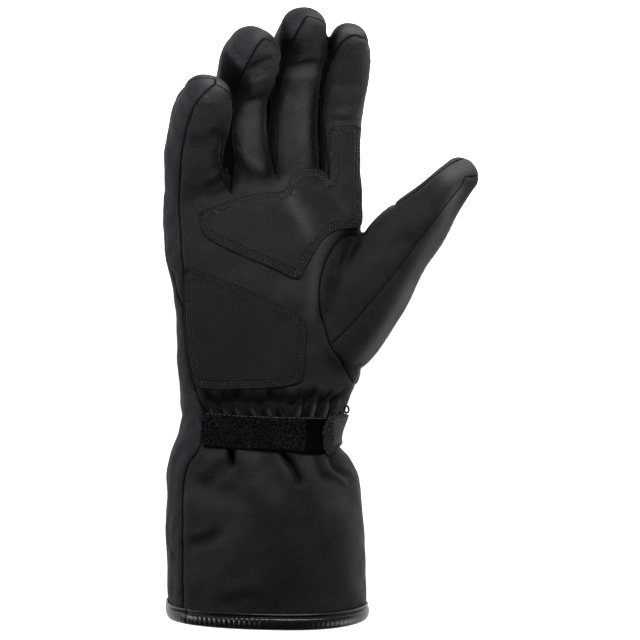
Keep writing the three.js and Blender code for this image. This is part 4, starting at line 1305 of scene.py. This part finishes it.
def hemBinding(settings):
    count = settings["sides"]
    angles = anglesRound(count)
    outside = settings["gap"] + settings["thickness"]
    insideEdge = -form["wall"] - 0.4 - settings["clear"]
    height = settings["height"]
    # The section starts at the top edge outside, goes round the hem and ends inside
    rises = np.linspace(height, -0.9, settings["rises"])
    profile = [[settings["gap"], height]]
    profile += [[outside * (0.6 if k == 0 else 1.0), rise] for k, rise in enumerate(rises)]
    profile += [[outside * 0.3 + insideEdge * 0.1, -1.25], [insideEdge * 0.45, -1.3],
                [insideEdge * 0.9, -0.95], [insideEdge - settings["thickness"], -0.2]]
    profile += [[insideEdge - settings["thickness"], rise] for rise in np.linspace(0.8, height, 8)]
    profile += [[insideEdge, height], [insideEdge, -settings["gap"] * 0.5],
                [settings["gap"] * 0.5, -settings["gap"] * 0.5]]
    profile = np.array(profile)
    ring = hemRing(angles, 0, 0)
    walked = walkedAlong(ring)
    total = walked[-1] + np.linalg.norm(ring[0] - ring[-1])
    phase = math.pi * walked / total * round(total / settings["puffPitch"])
    columns = []
    for offset, rise in profile:
        line = hemRing(angles, rise, offset)
        if offset > settings["gap"]:
            out = hemRing(angles, rise, offset + 1) - line
            line = line + out * bindingSwell(rise, phase, line[:, 0], line[:, 2], settings)[:, None]
        columns.append(line)
    grid = np.stack(columns, axis=1)
    grid[:, :, 2] = np.maximum(grid[:, :, 2], 0.0)
    size = len(profile)
    corners = grid.reshape(-1, 3)
    piece = rawObject("hemBindingLeather", toFrame(corners), facingOut(corners, tubeFaces(count, size)))
    addAttribute(piece, "rise", np.tile(profile[:, 1], count))
    lightened(piece, np.tile(np.arange(size) >= settings["rises"] + 4, count), 0.35)
    report(f"{piece.name}: {len(piece.data.polygons)} triangles")
    return piece


pieces["hem_binding"] = hemBinding(bindingSettings)


# Node trees are put together from lists of nodes and what feeds them
def newGroup(name, kind, inputs, outputs):
    # A node group with its sockets, and the ends inside it that they lead to
    tree = bpy.data.node_groups.new(name, kind)
    for label, (socketKind, default) in inputs.items():
        socket = tree.interface.new_socket(label, in_out="INPUT", socket_type="NodeSocket" + socketKind)
        if default is not None:
            socket.default_value = default
    for label in outputs:
        socketKind = "Geometry" if label == "Geometry" else "Float"
        tree.interface.new_socket(label, in_out="OUTPUT", socket_type="NodeSocket" + socketKind)
    return tree, tree.nodes.new("NodeGroupInput").outputs, tree.nodes.new("NodeGroupOutput").inputs


def feed(tree, node, inputs):
    # Each input gets a value, or a link where a socket is given
    for name, value in inputs.items():
        if isinstance(value, bpy.types.NodeSocket):
            tree.links.new(value, node.inputs[name])
        else:
            node.inputs[name].default_value = value


def addNode(tree, kind, inputs, **options):
    node = tree.nodes.new(kind)
    for option, value in options.items():
        setattr(node, option, value)
    feed(tree, node, inputs)
    return node


def mathNode(tree, operation, first, second):
    return addNode(tree, "ShaderNodeMath", {0: first, 1: second}, operation=operation).outputs[0]


# Stitches and pile are repeated by Geometry Nodes
def planted(tree, given, out, shape, turn, size, finish):
    # One instance of the shape on each point, made real and given its material
    place = addNode(tree, "GeometryNodeInstanceOnPoints", {
        "Points": given["Geometry"], "Instance": shape, "Rotation": turn, "Scale": size})
    real = addNode(tree, "GeometryNodeRealizeInstances", {"Geometry": place.outputs["Instances"]})
    paint = addNode(tree, "GeometryNodeSetMaterial", {
        "Geometry": real.outputs["Geometry"], "Material": given[finish]})
    tree.links.new(paint.outputs["Geometry"], out["Geometry"])
    return tree


def stitchTree():
    tree, given, out = newGroup("stitchRow", "GeometryNodeTree", {
        "Geometry": ("Geometry", None), "Stitch length": ("Float", 0.0017),
        "Thread radius": ("Float", 0.0002), "Unevenness": ("Float", 0.12), "Seed": ("Int", 3),
        "Thread": ("Material", None)}, ["Geometry"])
    heading, upward = (
        addNode(tree, "GeometryNodeInputNamedAttribute", {"Name": label}, data_type="FLOAT_VECTOR")
        .outputs["Attribute"] for label in ("heading", "upward"))
    turn = addNode(tree, "FunctionNodeAxesToRotation", {"Primary Axis": upward, "Secondary Axis": heading},
                   primary_axis="Z", secondary_axis="X")
    thread = addNode(tree, "GeometryNodeMeshUVSphere", {"Segments": 6, "Rings": 5, "Radius": 1.0})
    half = mathNode(tree, "MULTIPLY", given["Stitch length"], 0.5)
    radius = given["Thread radius"]
    size = addNode(tree, "ShaderNodeCombineXYZ", {"X": half, "Y": radius, "Z": radius})
    shape = addNode(tree, "GeometryNodeTransform", {
        "Geometry": thread.outputs["Mesh"], "Scale": size.outputs[0]})
    less, more = (mathNode(tree, way, 1.0, given["Unevenness"]) for way in ("SUBTRACT", "ADD"))
    uneven = addNode(tree, "FunctionNodeRandomValue", {2: less, 3: more, "Seed": given["Seed"]},
                     data_type="FLOAT")
    return planted(tree, given, out, shape.outputs["Geometry"], turn.outputs["Rotation"],
                   uneven.outputs[1], "Thread")


def tuftTree():
    tree, given, out = newGroup("loopPile", "GeometryNodeTree", {
        "Geometry": ("Geometry", None), "Tuft size": ("Float", 0.0006), "Fibre radius": ("Float", 0.00006),
        "Seed": ("Int", 7), "Fibre": ("Material", None)}, ["Geometry"])
    arc = addNode(tree, "GeometryNodeCurveArc", {
        "Resolution": 5, "Radius": 1.0, "Start Angle": 0.0, "Sweep Angle": 4.2}, mode="RADIUS")
    stand = addNode(tree, "GeometryNodeTransform", {
        "Geometry": arc.outputs["Curve"], "Rotation": (math.pi / 2, 0, 0), "Scale": given["Tuft size"]})
    ring = addNode(tree, "GeometryNodeCurvePrimitiveCircle", {
        "Resolution": 3, "Radius": given["Fibre radius"]})
    tube = addNode(tree, "GeometryNodeCurveToMesh", {
        "Curve": stand.outputs["Geometry"], "Profile Curve": ring.outputs["Curve"], "Fill Caps": True})
    spin = addNode(tree, "FunctionNodeRandomValue", {
        0: (-0.9, -0.9, 0.0), 1: (0.9, 0.9, 6.28), "Seed": given["Seed"]}, data_type="FLOAT_VECTOR")
    grow = addNode(tree, "FunctionNodeRandomValue", {2: 0.55, 3: 1.35, "Seed": given["Seed"]},
                   data_type="FLOAT")
    return planted(tree, given, out, tube.outputs["Mesh"], spin.outputs[0], grow.outputs[1], "Fibre")


def grown(name, tree, places, values, headings=None, upwards=None):
    # Runs a tree on a set of points and keeps its result as a plain mesh
    mesh = bpy.data.meshes.new(name + "Places")
    mesh.vertices.add(len(places))
    mesh.vertices.foreach_set("co", np.ascontiguousarray(toFrame(places), np.float32).ravel())
    for label, rows in (("heading", headings), ("upward", upwards)):
        if rows is not None:
            attribute = mesh.attributes.new(label, "FLOAT_VECTOR", "POINT")
            attribute.data.foreach_set("vector", np.ascontiguousarray(rows, np.float32).ravel())
    source = placed(name + "Source", mesh)
    change = source.modifiers.new("grow", "NODES")
    change.node_group = tree
    for item in tree.interface.items_tree:
        if item.item_type == "SOCKET" and item.in_out == "INPUT" and item.name in values:
            change[item.identifier] = values[item.name]
    result = bpy.data.meshes.new_from_object(evaluatedOf(source))
    result.name = name
    source.modifiers.clear()
    bpy.data.objects.remove(source)
    for face in result.polygons:
        face.use_smooth = True
    return placed(name, result)


# Shader effects that several materials share
def noiseNode(tree, vector, scale, detail, roughness=0.5):
    return addNode(tree, "ShaderNodeTexNoise", {
        "Vector": vector, "Scale": scale, "Detail": detail, "Roughness": roughness}).outputs["Fac"]


def rangeNode(tree, value, low, high, start=0.0, end=1.0, **options):
    return addNode(tree, "ShaderNodeMapRange", {
        "Value": value, "From Min": low, "From Max": high, "To Min": start, "To Max": end},
        **options).outputs["Result"]


def attributeNode(tree, name):
    return addNode(tree, "ShaderNodeAttribute", {}, attribute_name=name).outputs["Fac"]


def mixNode(tree, factor, first, second):
    first, second = ((*value, 1) if isinstance(value, tuple) else value for value in (first, second))
    return addNode(tree, "ShaderNodeMix", {"Factor": factor, "A": first, "B": second},
                   data_type="RGBA").outputs["Result"]


def clothGrainGroup():
    tree, given, out = newGroup("clothGrain", "ShaderNodeTree", {
        "Thread pitch": ("Float", 1400.0), "Mottle size": ("Float", 60.0)}, ["Height", "Fleck", "Mottle"])
    where = tree.nodes.new("ShaderNodeTexCoord").outputs["Object"]
    pitch = given["Thread pitch"]
    fine = noiseNode(tree, where, pitch, 2.0, 0.6)
    coarse = noiseNode(tree, where, mathNode(tree, "MULTIPLY", pitch, 0.42), 2.0, 0.6)
    threads = []
    for stretch in ((1.0, 0.22, 0.6), (0.22, 1.0, 0.6)):
        turned = addNode(tree, "ShaderNodeMapping", {"Vector": where, "Scale": stretch})
        threads.append(noiseNode(tree, turned.outputs["Vector"], pitch, 1.0))
    weave = mathNode(tree, "MAXIMUM", *threads)
    height = mathNode(tree, "ADD", mathNode(tree, "MULTIPLY", fine, 0.5), weave)
    height = mathNode(tree, "ADD", height, mathNode(tree, "MULTIPLY", coarse, 1.1))
    fleck = mathNode(tree, "MULTIPLY", mathNode(tree, "ADD", coarse, weave), 0.5)
    mottle = noiseNode(tree, where, given["Mottle size"], 4.0, 0.6)
    tree.links.new(height, out["Height"])
    tree.links.new(rangeNode(tree, fleck, 0.36, 0.64), out["Fleck"])
    tree.links.new(rangeNode(tree, mottle, 0.3, 0.7), out["Mottle"])
    return tree


def seamShadeGroup():
    tree, given, out = newGroup("seamShade", "ShaderNodeTree", {"Width": ("Float", 0.55)}, ["Mask"])
    ratio = mathNode(tree, "DIVIDE", attributeNode(tree, "seam"), given["Width"])
    mask = rangeNode(tree, ratio, 0.2, 1.4, 1.0, 0.0, interpolation_type="SMOOTHSTEP")
    tree.links.new(mask, out["Mask"])
    return tree


clothGrain = clothGrainGroup()
seamShade = seamShadeGroup()


def clothMaterial(name, base, **own):
    look = {**base, **own}
    material = bpy.data.materials.new(name)
    material.use_nodes = True
    tree = material.node_tree
    grain = addNode(tree, "ShaderNodeGroup", {
        "Thread pitch": look["threadPitch"], "Mottle size": look["mottleSize"]}, node_tree=clothGrain).outputs
    shade = addNode(tree, "ShaderNodeGroup", {"Width": look["seamWidth"]}, node_tree=seamShade).outputs
    blend = addNode(tree, "ShaderNodeMix", {
        "Factor": look["fleck"], "A": grain["Mottle"], "B": grain["Fleck"]}).outputs["Result"]
    colour = mixNode(tree, blend, look["dark"], look["light"])
    if "part" in look:
        # An attribute marks where a second finish takes over
        colour = mixNode(tree, attributeNode(tree, look["part"]), look["other"], colour)
    if "worn" in look:
        # Ridges get a painted highlight, and hollows a painted shade in the seam colour
        colour = mixNode(tree, attributeNode(tree, "ridge"), colour, look["worn"])
        amount = mathNode(tree, "MULTIPLY", attributeNode(tree, "hollow"), look["hollow"])
        colour = mixNode(tree, amount, colour, look["seam"])
    bump = addNode(tree, "ShaderNodeBump", {
        "Strength": look["bump"], "Distance": look["bumpDepth"], "Height": grain["Height"]})
    feed(tree, tree.nodes["Principled BSDF"], {
        "Base Color": mixNode(tree, shade["Mask"], colour, look["seam"]),
        "Roughness": rangeNode(tree, grain["Fleck"], 0.0, 1.0, look["roughness"] - 0.06,
                               look["roughness"] + 0.06),
        "Normal": bump.outputs["Normal"],
        "Sheen Weight": look["sheen"],
        "Sheen Roughness": 0.45,
        "Specular IOR Level": look["specular"]})
    return material


# What cloths, fibres and threads have in common
clothBase = {"roughness": 0.58, "threadPitch": 1700.0, "mottleSize": 110.0, "fleck": 0.6, "seamWidth": 0.6,
             "bump": 1.0, "bumpDepth": 0.00033, "sheen": 0.0}
fibreBase = {"roughness": 0.42, "threadPitch": 700.0, "mottleSize": 350.0, "fleck": 0.3, "seamWidth": 0.01,
             "bump": 0.1, "bumpDepth": 0.00005, "sheen": 0.0}
threadBase = {"roughness": 0.5, "threadPitch": 3000.0, "mottleSize": 500.0, "fleck": 0.2, "seamWidth": 0.01,
              "bump": 0.3, "bumpDepth": 0.00005, "sheen": 0.04, "specular": 0.3}
palmCloth = clothMaterial(
    "palmCloth", clothBase, dark=(0.0056, 0.0056, 0.0057), light=(0.0150, 0.0151, 0.0155),
    seam=(0.001, 0.001, 0.001), worn=(0.062, 0.062, 0.063), hollow=0.97, sheen=0.02, specular=0.08)
sideCloth = clothMaterial(
    "sideCloth", clothBase, dark=(0.0092, 0.0096, 0.0109), light=(0.0232, 0.0243, 0.0275),
    seam=(0.001, 0.001, 0.0012), worn=(0.066, 0.0665, 0.068), hollow=0.98, sheen=0.002, specular=0.04)
patchCloth = clothMaterial(
    "patchSuede", clothBase, dark=(0.0056, 0.0056, 0.0057), light=(0.0156, 0.0156, 0.0157),
    seam=(0.0014, 0.0014, 0.0014), worn=(0.06, 0.06, 0.0602), hollow=0.8, sheen=0.03, specular=0.07,
    roughness=0.75, threadPitch=2100.0, mottleSize=60.0, fleck=0.65, seamWidth=0.3, bumpDepth=0.0003)
strapCloth = clothMaterial(
    "strapWeb", clothBase, dark=(0.012, 0.012, 0.0121), light=(0.045, 0.045, 0.0453),
    seam=(0.003, 0.003, 0.003), part="plain", other=(0.003, 0.003, 0.0031), specular=0.06,
    roughness=0.6, threadPitch=1100.0, mottleSize=90.0, seamWidth=0.25, bumpDepth=0.0003)
# The plain end of the strip is black webbing, made darker still as painted shade from the strap's tab
pileCloth = clothMaterial(
    "loopPileCloth", clothBase, dark=(0.0008, 0.0008, 0.0009), light=(0.003, 0.003, 0.0031),
    seam=(0.0008, 0.0008, 0.0008), part="pile", other=(0.0006, 0.0006, 0.0006), specular=0.03,
    roughness=0.85, threadPitch=900.0, mottleSize=400.0, fleck=0.7, seamWidth=0.3, bumpDepth=0.0005)
# The loops are black; their pale colour paints the glints on them
fibreShine = clothMaterial(
    "pileFibreGlint", fibreBase, dark=(0.012, 0.012, 0.0121), light=(0.75, 0.75, 0.753),
    seam=(0.002, 0.002, 0.002), specular=0.3)
hookFibre = clothMaterial(
    "hookFibre", fibreBase, dark=(0.06, 0.06, 0.0605), light=(0.34, 0.34, 0.343),
    seam=(0.02, 0.02, 0.02), specular=0.4)
# The sewing and strap threads are a paler grey, partly their own colour and partly a painted glint
thread = clothMaterial(
    "sewingThread", threadBase, dark=(0.034, 0.034, 0.0343), light=(0.125, 0.125, 0.126),
    seam=(0.012, 0.012, 0.012))
paleThread = clothMaterial(
    "strapThread", threadBase, dark=(0.06, 0.06, 0.0605), light=(0.16, 0.16, 0.1612),
    seam=(0.05, 0.05, 0.0503))
darkThread = clothMaterial(
    "bindingThread", threadBase, dark=(0.002, 0.002, 0.002), light=(0.004, 0.004, 0.004),
    seam=(0.002, 0.002, 0.002), roughness=0.6, sheen=0.0, specular=0.15)
leather = clothMaterial(
    "bindingLeather", clothBase, dark=(0.0015, 0.0015, 0.0015), light=(0.0032, 0.0032, 0.0032),
    seam=(0.0015, 0.0015, 0.0015), specular=0.5, roughness=0.32, threadPitch=1800.0, mottleSize=300.0,
    fleck=0.4, seamWidth=0.01, bump=0.4, bumpDepth=0.0001)


# Rows of stitches lie on the surface under them
def surfaceTree(thing):
    corners, triangles = meshArrays(thing.data)
    return BVHTree.FromPolygons(corners.tolist(), triangles.tolist(), all_triangles=True)


def placesAlong(line, walked, at):
    # Places on a line, and the way that it runs there
    places, ahead = (np.stack([np.interp(at + step, walked, line[:, i]) for i in range(2)], axis=1)
                     for step in (0, 0.2))
    return places, ahead - places


def rowPlaces(outline, inset, pitch):
    # Evenly spaced places on a line that runs inside an outline
    line = np.array(outline)
    ahead, behind = np.roll(line, -1, axis=0), np.roll(line, 1, axis=0)
    along = ahead - behind
    along /= np.maximum(np.linalg.norm(along, axis=1, keepdims=True), 1e-9)
    area = np.sum(line[:, 0] * ahead[:, 1] - ahead[:, 0] * line[:, 1])
    inward = np.stack([-along[:, 1], along[:, 0]], axis=1) * np.sign(area)
    row = line + inward * inset
    row = row[insideDistance(row[:, 0], row[:, 1], outline) > inset - 0.12]
    closed = np.vstack([row, row[:1]])
    walked = walkedAlong(closed)
    count = int(walked[-1] / pitch)
    return placesAlong(closed, walked, (np.arange(count) + 0.5) * walked[-1] / count)


def onSurface(tree, places, headings, sink):
    spots, ways, ups = [], [], []
    for (x, y), (hx, hy) in zip(places, headings):
        start = Vector(((x - originShift[0]) / 1000, (y - originShift[1]) / 1000, 0.2))
        hit, up, _, _ = tree.ray_cast(start, Vector((0, 0, -1)))
        if hit is None or up.z < 0.2:
            continue
        spots.append(np.array(hit) * 1000 + originShift - np.array(up) * sink)
        ways.append([hx, hy, -(hx * up.x + hy * up.y) / up.z])
        ups.append(list(up))
    return np.array(spots), np.array(ways), np.array(ups)


stitchRow = stitchTree()


def sewn(name, rows, length, radius, unevenness, seed, material):
    # One stitch for each place in the rows
    spots, ways, ups = (np.vstack(part) for part in zip(*rows))
    return grown(name, stitchRow, spots, {
        "Stitch length": length / 1000, "Thread radius": radius / 1000, "Unevenness": unevenness,
        "Seed": seed, "Thread": material}, ways, ups)


def patchStitches(name, patchPiece, outline, settings):
    # Threads cross to and fro in a band of small diamonds
    tree = surfaceTree(patchPiece)
    half, wide = settings["stitchPitch"] / 2, settings["bandColumn"]
    places, along = rowPlaces(outline, settings["bandMiddle"], half)
    along /= np.linalg.norm(along, axis=1, keepdims=True)
    inward = np.stack([-along[:, 1], along[:, 0]], axis=1)
    way = np.where(np.arange(len(places)) % 2 == 0, 1.0, -1.0)[:, None]
    rows = [onSurface(tree, places + inward * column * wide,
                      along * half + inward * way * (1 - 2 * abs(column)) * wide, settings["sink"])
            for column in (-1, 0, 1)]
    return sewn(name, rows, math.hypot(half, wide), settings["threadRadius"], 0.1, 3, thread)


palmStitches = patchStitches("palmPatchStitches", pieces["palm_patch"], palmPatchOutline, patchSettings)
heelStitches = patchStitches("heelPatchStitches", pieces["heel_patch"], heelPatchOutline, patchSettings)
report("patch stitches sewn")


def lineStitches(name, under, lines, settings, seed):
    tree = surfaceTree(under)
    rows = []
    for line in lines:
        line = pathLine(line, 0.4)
        walked = walkedAlong(line)
        at = np.arange(settings["stitchPitch"] / 2, walked[-1], settings["stitchPitch"])
        rows.append(onSurface(tree, *placesAlong(line, walked, at), settings["sink"]))
    return sewn(name, rows, settings["stitchLength"], settings["threadRadius"], 0.1, seed, paleThread)


strapStitches = lineStitches("strapStitches", pieces["closure_strap"], [
    [[4.9, -52.9], [9, -51.6], [16, -51.2]],
    [[5.3, -54.9], [9.4, -53.6], [16, -53.2]],
    [[6.4, -66.6], [9, -65.2], [15, -64.8]]], strapSettings, 5)
# A row of pale stitches along the pile strip's top edge also paints the highlight on that edge
edgeHighlightRow = {"stitchPitch": 2.3, "stitchLength": 2.6, "threadRadius": 0.24, "sink": 0.02}
stripHighlightStitches = lineStitches("pileStripHighlightStitches", pieces["pile_strip"], [
    [[-60.9, -49.75], [-36, -51.3], [5, -52.5]]], edgeHighlightRow, 6)


def bindingStitches(settings):
    angles = anglesRound(settings["stitchSides"])
    outside = settings["gap"] + settings["thickness"] - settings["groove"]
    ring, further = (hemRing(angles, settings["grooveAt"], outside + step) for step in (0.02, 1.02))
    walked = walkedAlong(np.vstack([ring, ring[:1]]))
    count = round(walked[-1] / settings["stitchPitch"])
    at = (np.arange(count) + 0.5) * walked[-1] / count
    near = np.searchsorted(walked[:-1], at).clip(0, len(ring) - 1)
    ways = np.roll(ring, -1, axis=0)[near] - ring[near]
    return sewn("bindingStitches", [(ring[near], ways, (further - ring)[near])], settings["stitchLength"],
                settings["threadRadius"], 0.06, 9, darkThread)


bindingStitchPiece = bindingStitches(bindingSettings)

# Loops of the pile, and the hooks at the edge of the strap
pileSettings = {"count": 2000, "size": 0.55, "radius": 0.12, "lift": 0.05, "seed": 17}
hookSettings = {"count": 520, "size": 0.5, "radius": 0.12, "lift": 0.05, "seed": 23}


def tufts(name, tops, ups, made, share, fibre, settings):
    rng = np.random.default_rng(settings["seed"])
    *_, across = cornersOf(tops, made)
    area = np.linalg.norm(across, axis=1) * share[made].mean(axis=1)
    chosen = rng.choice(len(made), settings["count"], p=area / area.sum())
    mix = rng.dirichlet([1, 1, 1], settings["count"])
    spots = np.einsum("ij,ijk->ik", mix, tops[made[chosen]])
    upward = np.einsum("ij,ijk->ik", mix, ups[made[chosen]])
    return grown(name, loopPile, spots + upward * settings["lift"], {
        "Tuft size": settings["size"] / 1000, "Fibre radius": settings["radius"] / 1000,
        "Seed": 7, "Fibre": fibre})


loopPile = tuftTree()
pileTop = pileLow + pileUp * (stripSettings["lift"] + stripSettings["thickness"])
pileLoops = tufts("pileLoops", pileTop, pileUp, pileFaces, pileShare, fibreShine, pileSettings)
strapHooks = tufts("strapHooks", strapTop, strapUp, strapFaces, hookShare, hookFibre, hookSettings)
report(f"pile loops and hooks: {len(pileLoops.data.polygons)} and {len(strapHooks.data.polygons)} faces")

# The finish and the material slot of each piece that stands for a node
dressing = {
    "palm_panel": (palmCloth, "palm_fabric"),
    "back_panel": (sideCloth, "side_fabric"),
    "finger_back_panel": (sideCloth, "side_fabric"),
    "little_finger_side_panel": (sideCloth, "side_fabric"),
    "thumb_inner_panel": (palmCloth, "palm_fabric"),
    "thumb_outer_panel": (palmCloth, "palm_fabric"),
    "thumb_back_panel": (sideCloth, "side_fabric"),
    "cuff_palm_panel": (palmCloth, "palm_fabric"),
    "cuff_back_panel": (sideCloth, "side_fabric"),
    "hem_binding": (leather, "binding"),
    "palm_patch": (patchCloth, "patch_fabric"),
    "heel_patch": (patchCloth, "patch_fabric"),
    "pile_strip": (pileCloth, "pile"),
    "closure_strap": (strapCloth, "webbing"),
    "strap_loop": (strapCloth, "webbing"),
}
added = []
for nodeName, (material, slotName) in dressing.items():
    piece = pieces[nodeName]
    piece.data.materials.clear()
    piece.data.materials.append(material)
    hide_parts(nodeName)
    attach(piece, "root")
    added.append(piece)
for piece, slotName in ((palmStitches, "patch_fabric"), (heelStitches, "patch_fabric"),
                        (strapStitches, "webbing"), (stripHighlightStitches, "pile"), (strapHooks, "webbing"),
                        (bindingStitchPiece, "binding"), (pileLoops, "pile")):
    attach(piece, "root")
    added.append(piece)

# Pale floor and soft light
studio = {"floorSize": 3.0, "floorColour": (0.92, 0.92, 0.92), "sky": 0.05, "floorGlow": 0.93}
corners = np.array([[-1, -1, 0], [1, -1, 0], [1, 1, 0], [-1, 1, 0]]) * studio["floorSize"] / 2
floor = rawObject("floor", corners, np.array([[0, 1, 2, 3]]))
floorMaterial = bpy.data.materials.new("paleFloor")
floorMaterial.use_nodes = True
floorTree = floorMaterial.node_tree
feed(floorTree, floorTree.nodes["Principled BSDF"], {
    "Base Color": (*studio["floorColour"], 1), "Roughness": 0.9,
    "Emission Color": (1, 1, 1, 1), "Emission Strength": studio["floorGlow"]})
floor.data.materials.append(floorMaterial)

world = bpy.data.worlds.new("studio")
bpy.context.scene.world = world
world.use_nodes = True
feed(world.node_tree, world.node_tree.nodes["Background"], {"Color": (1, 1, 1, 1), "Strength": studio["sky"]})

lamps = [
    # name, place, what it looks at, size, spread in degrees, power, colour
    ("fingertipSoftbox", (0.06, 0.29, 0.33), (0.0, 0.06, 0.04), (0.24, 0.1), 150, 1.4, (1, 1, 1)),
    ("fingerSoftbox", (-0.02, 0.2, 1.0), (-0.03, 0.1, 0.045), (0.06, 0.06), 8, 0.035, (1, 1, 1)),
    ("thumbSideSoftbox", (1.05, -0.4, 0.28), (0.0, 0.0, 0.03), (0.3, 1.2), 120, 3.0, (1, 1, 1)),
    ("littleFingerSoftbox", (-1.1, 0.08, 0.7), (0.0, -0.05, 0.03), (0.4, 0.8), 120, 3.8, (0.93, 0.96, 1.0)),
]
for name, place, target, size, spread, power, colour in lamps:
    lampData = bpy.data.lights.new(name, "AREA")
    lampData.shape = "RECTANGLE"
    lampData.size, lampData.size_y = size
    lampData.spread = math.radians(spread)
    lampData.energy = power
    lampData.color = colour
    lamp = placed(name, lampData)
    lamp.location = place
    lamp.rotation_euler = (Vector(target) - Vector(place)).to_track_quat("-Z", "Y").to_euler()
    # A narrow lamp would sparkle on the weave
    wide = spread > 90
    lamp.visible_glossy = wide
    lampData.cycles.use_multiple_importance_sampling = wide
report("stage and light set")
triangleCounts = [len(meshArrays(piece.data)[1]) for piece in added]
report(f"{sum(triangleCounts)} triangles added in all, at most {max(triangleCounts)} a piece")
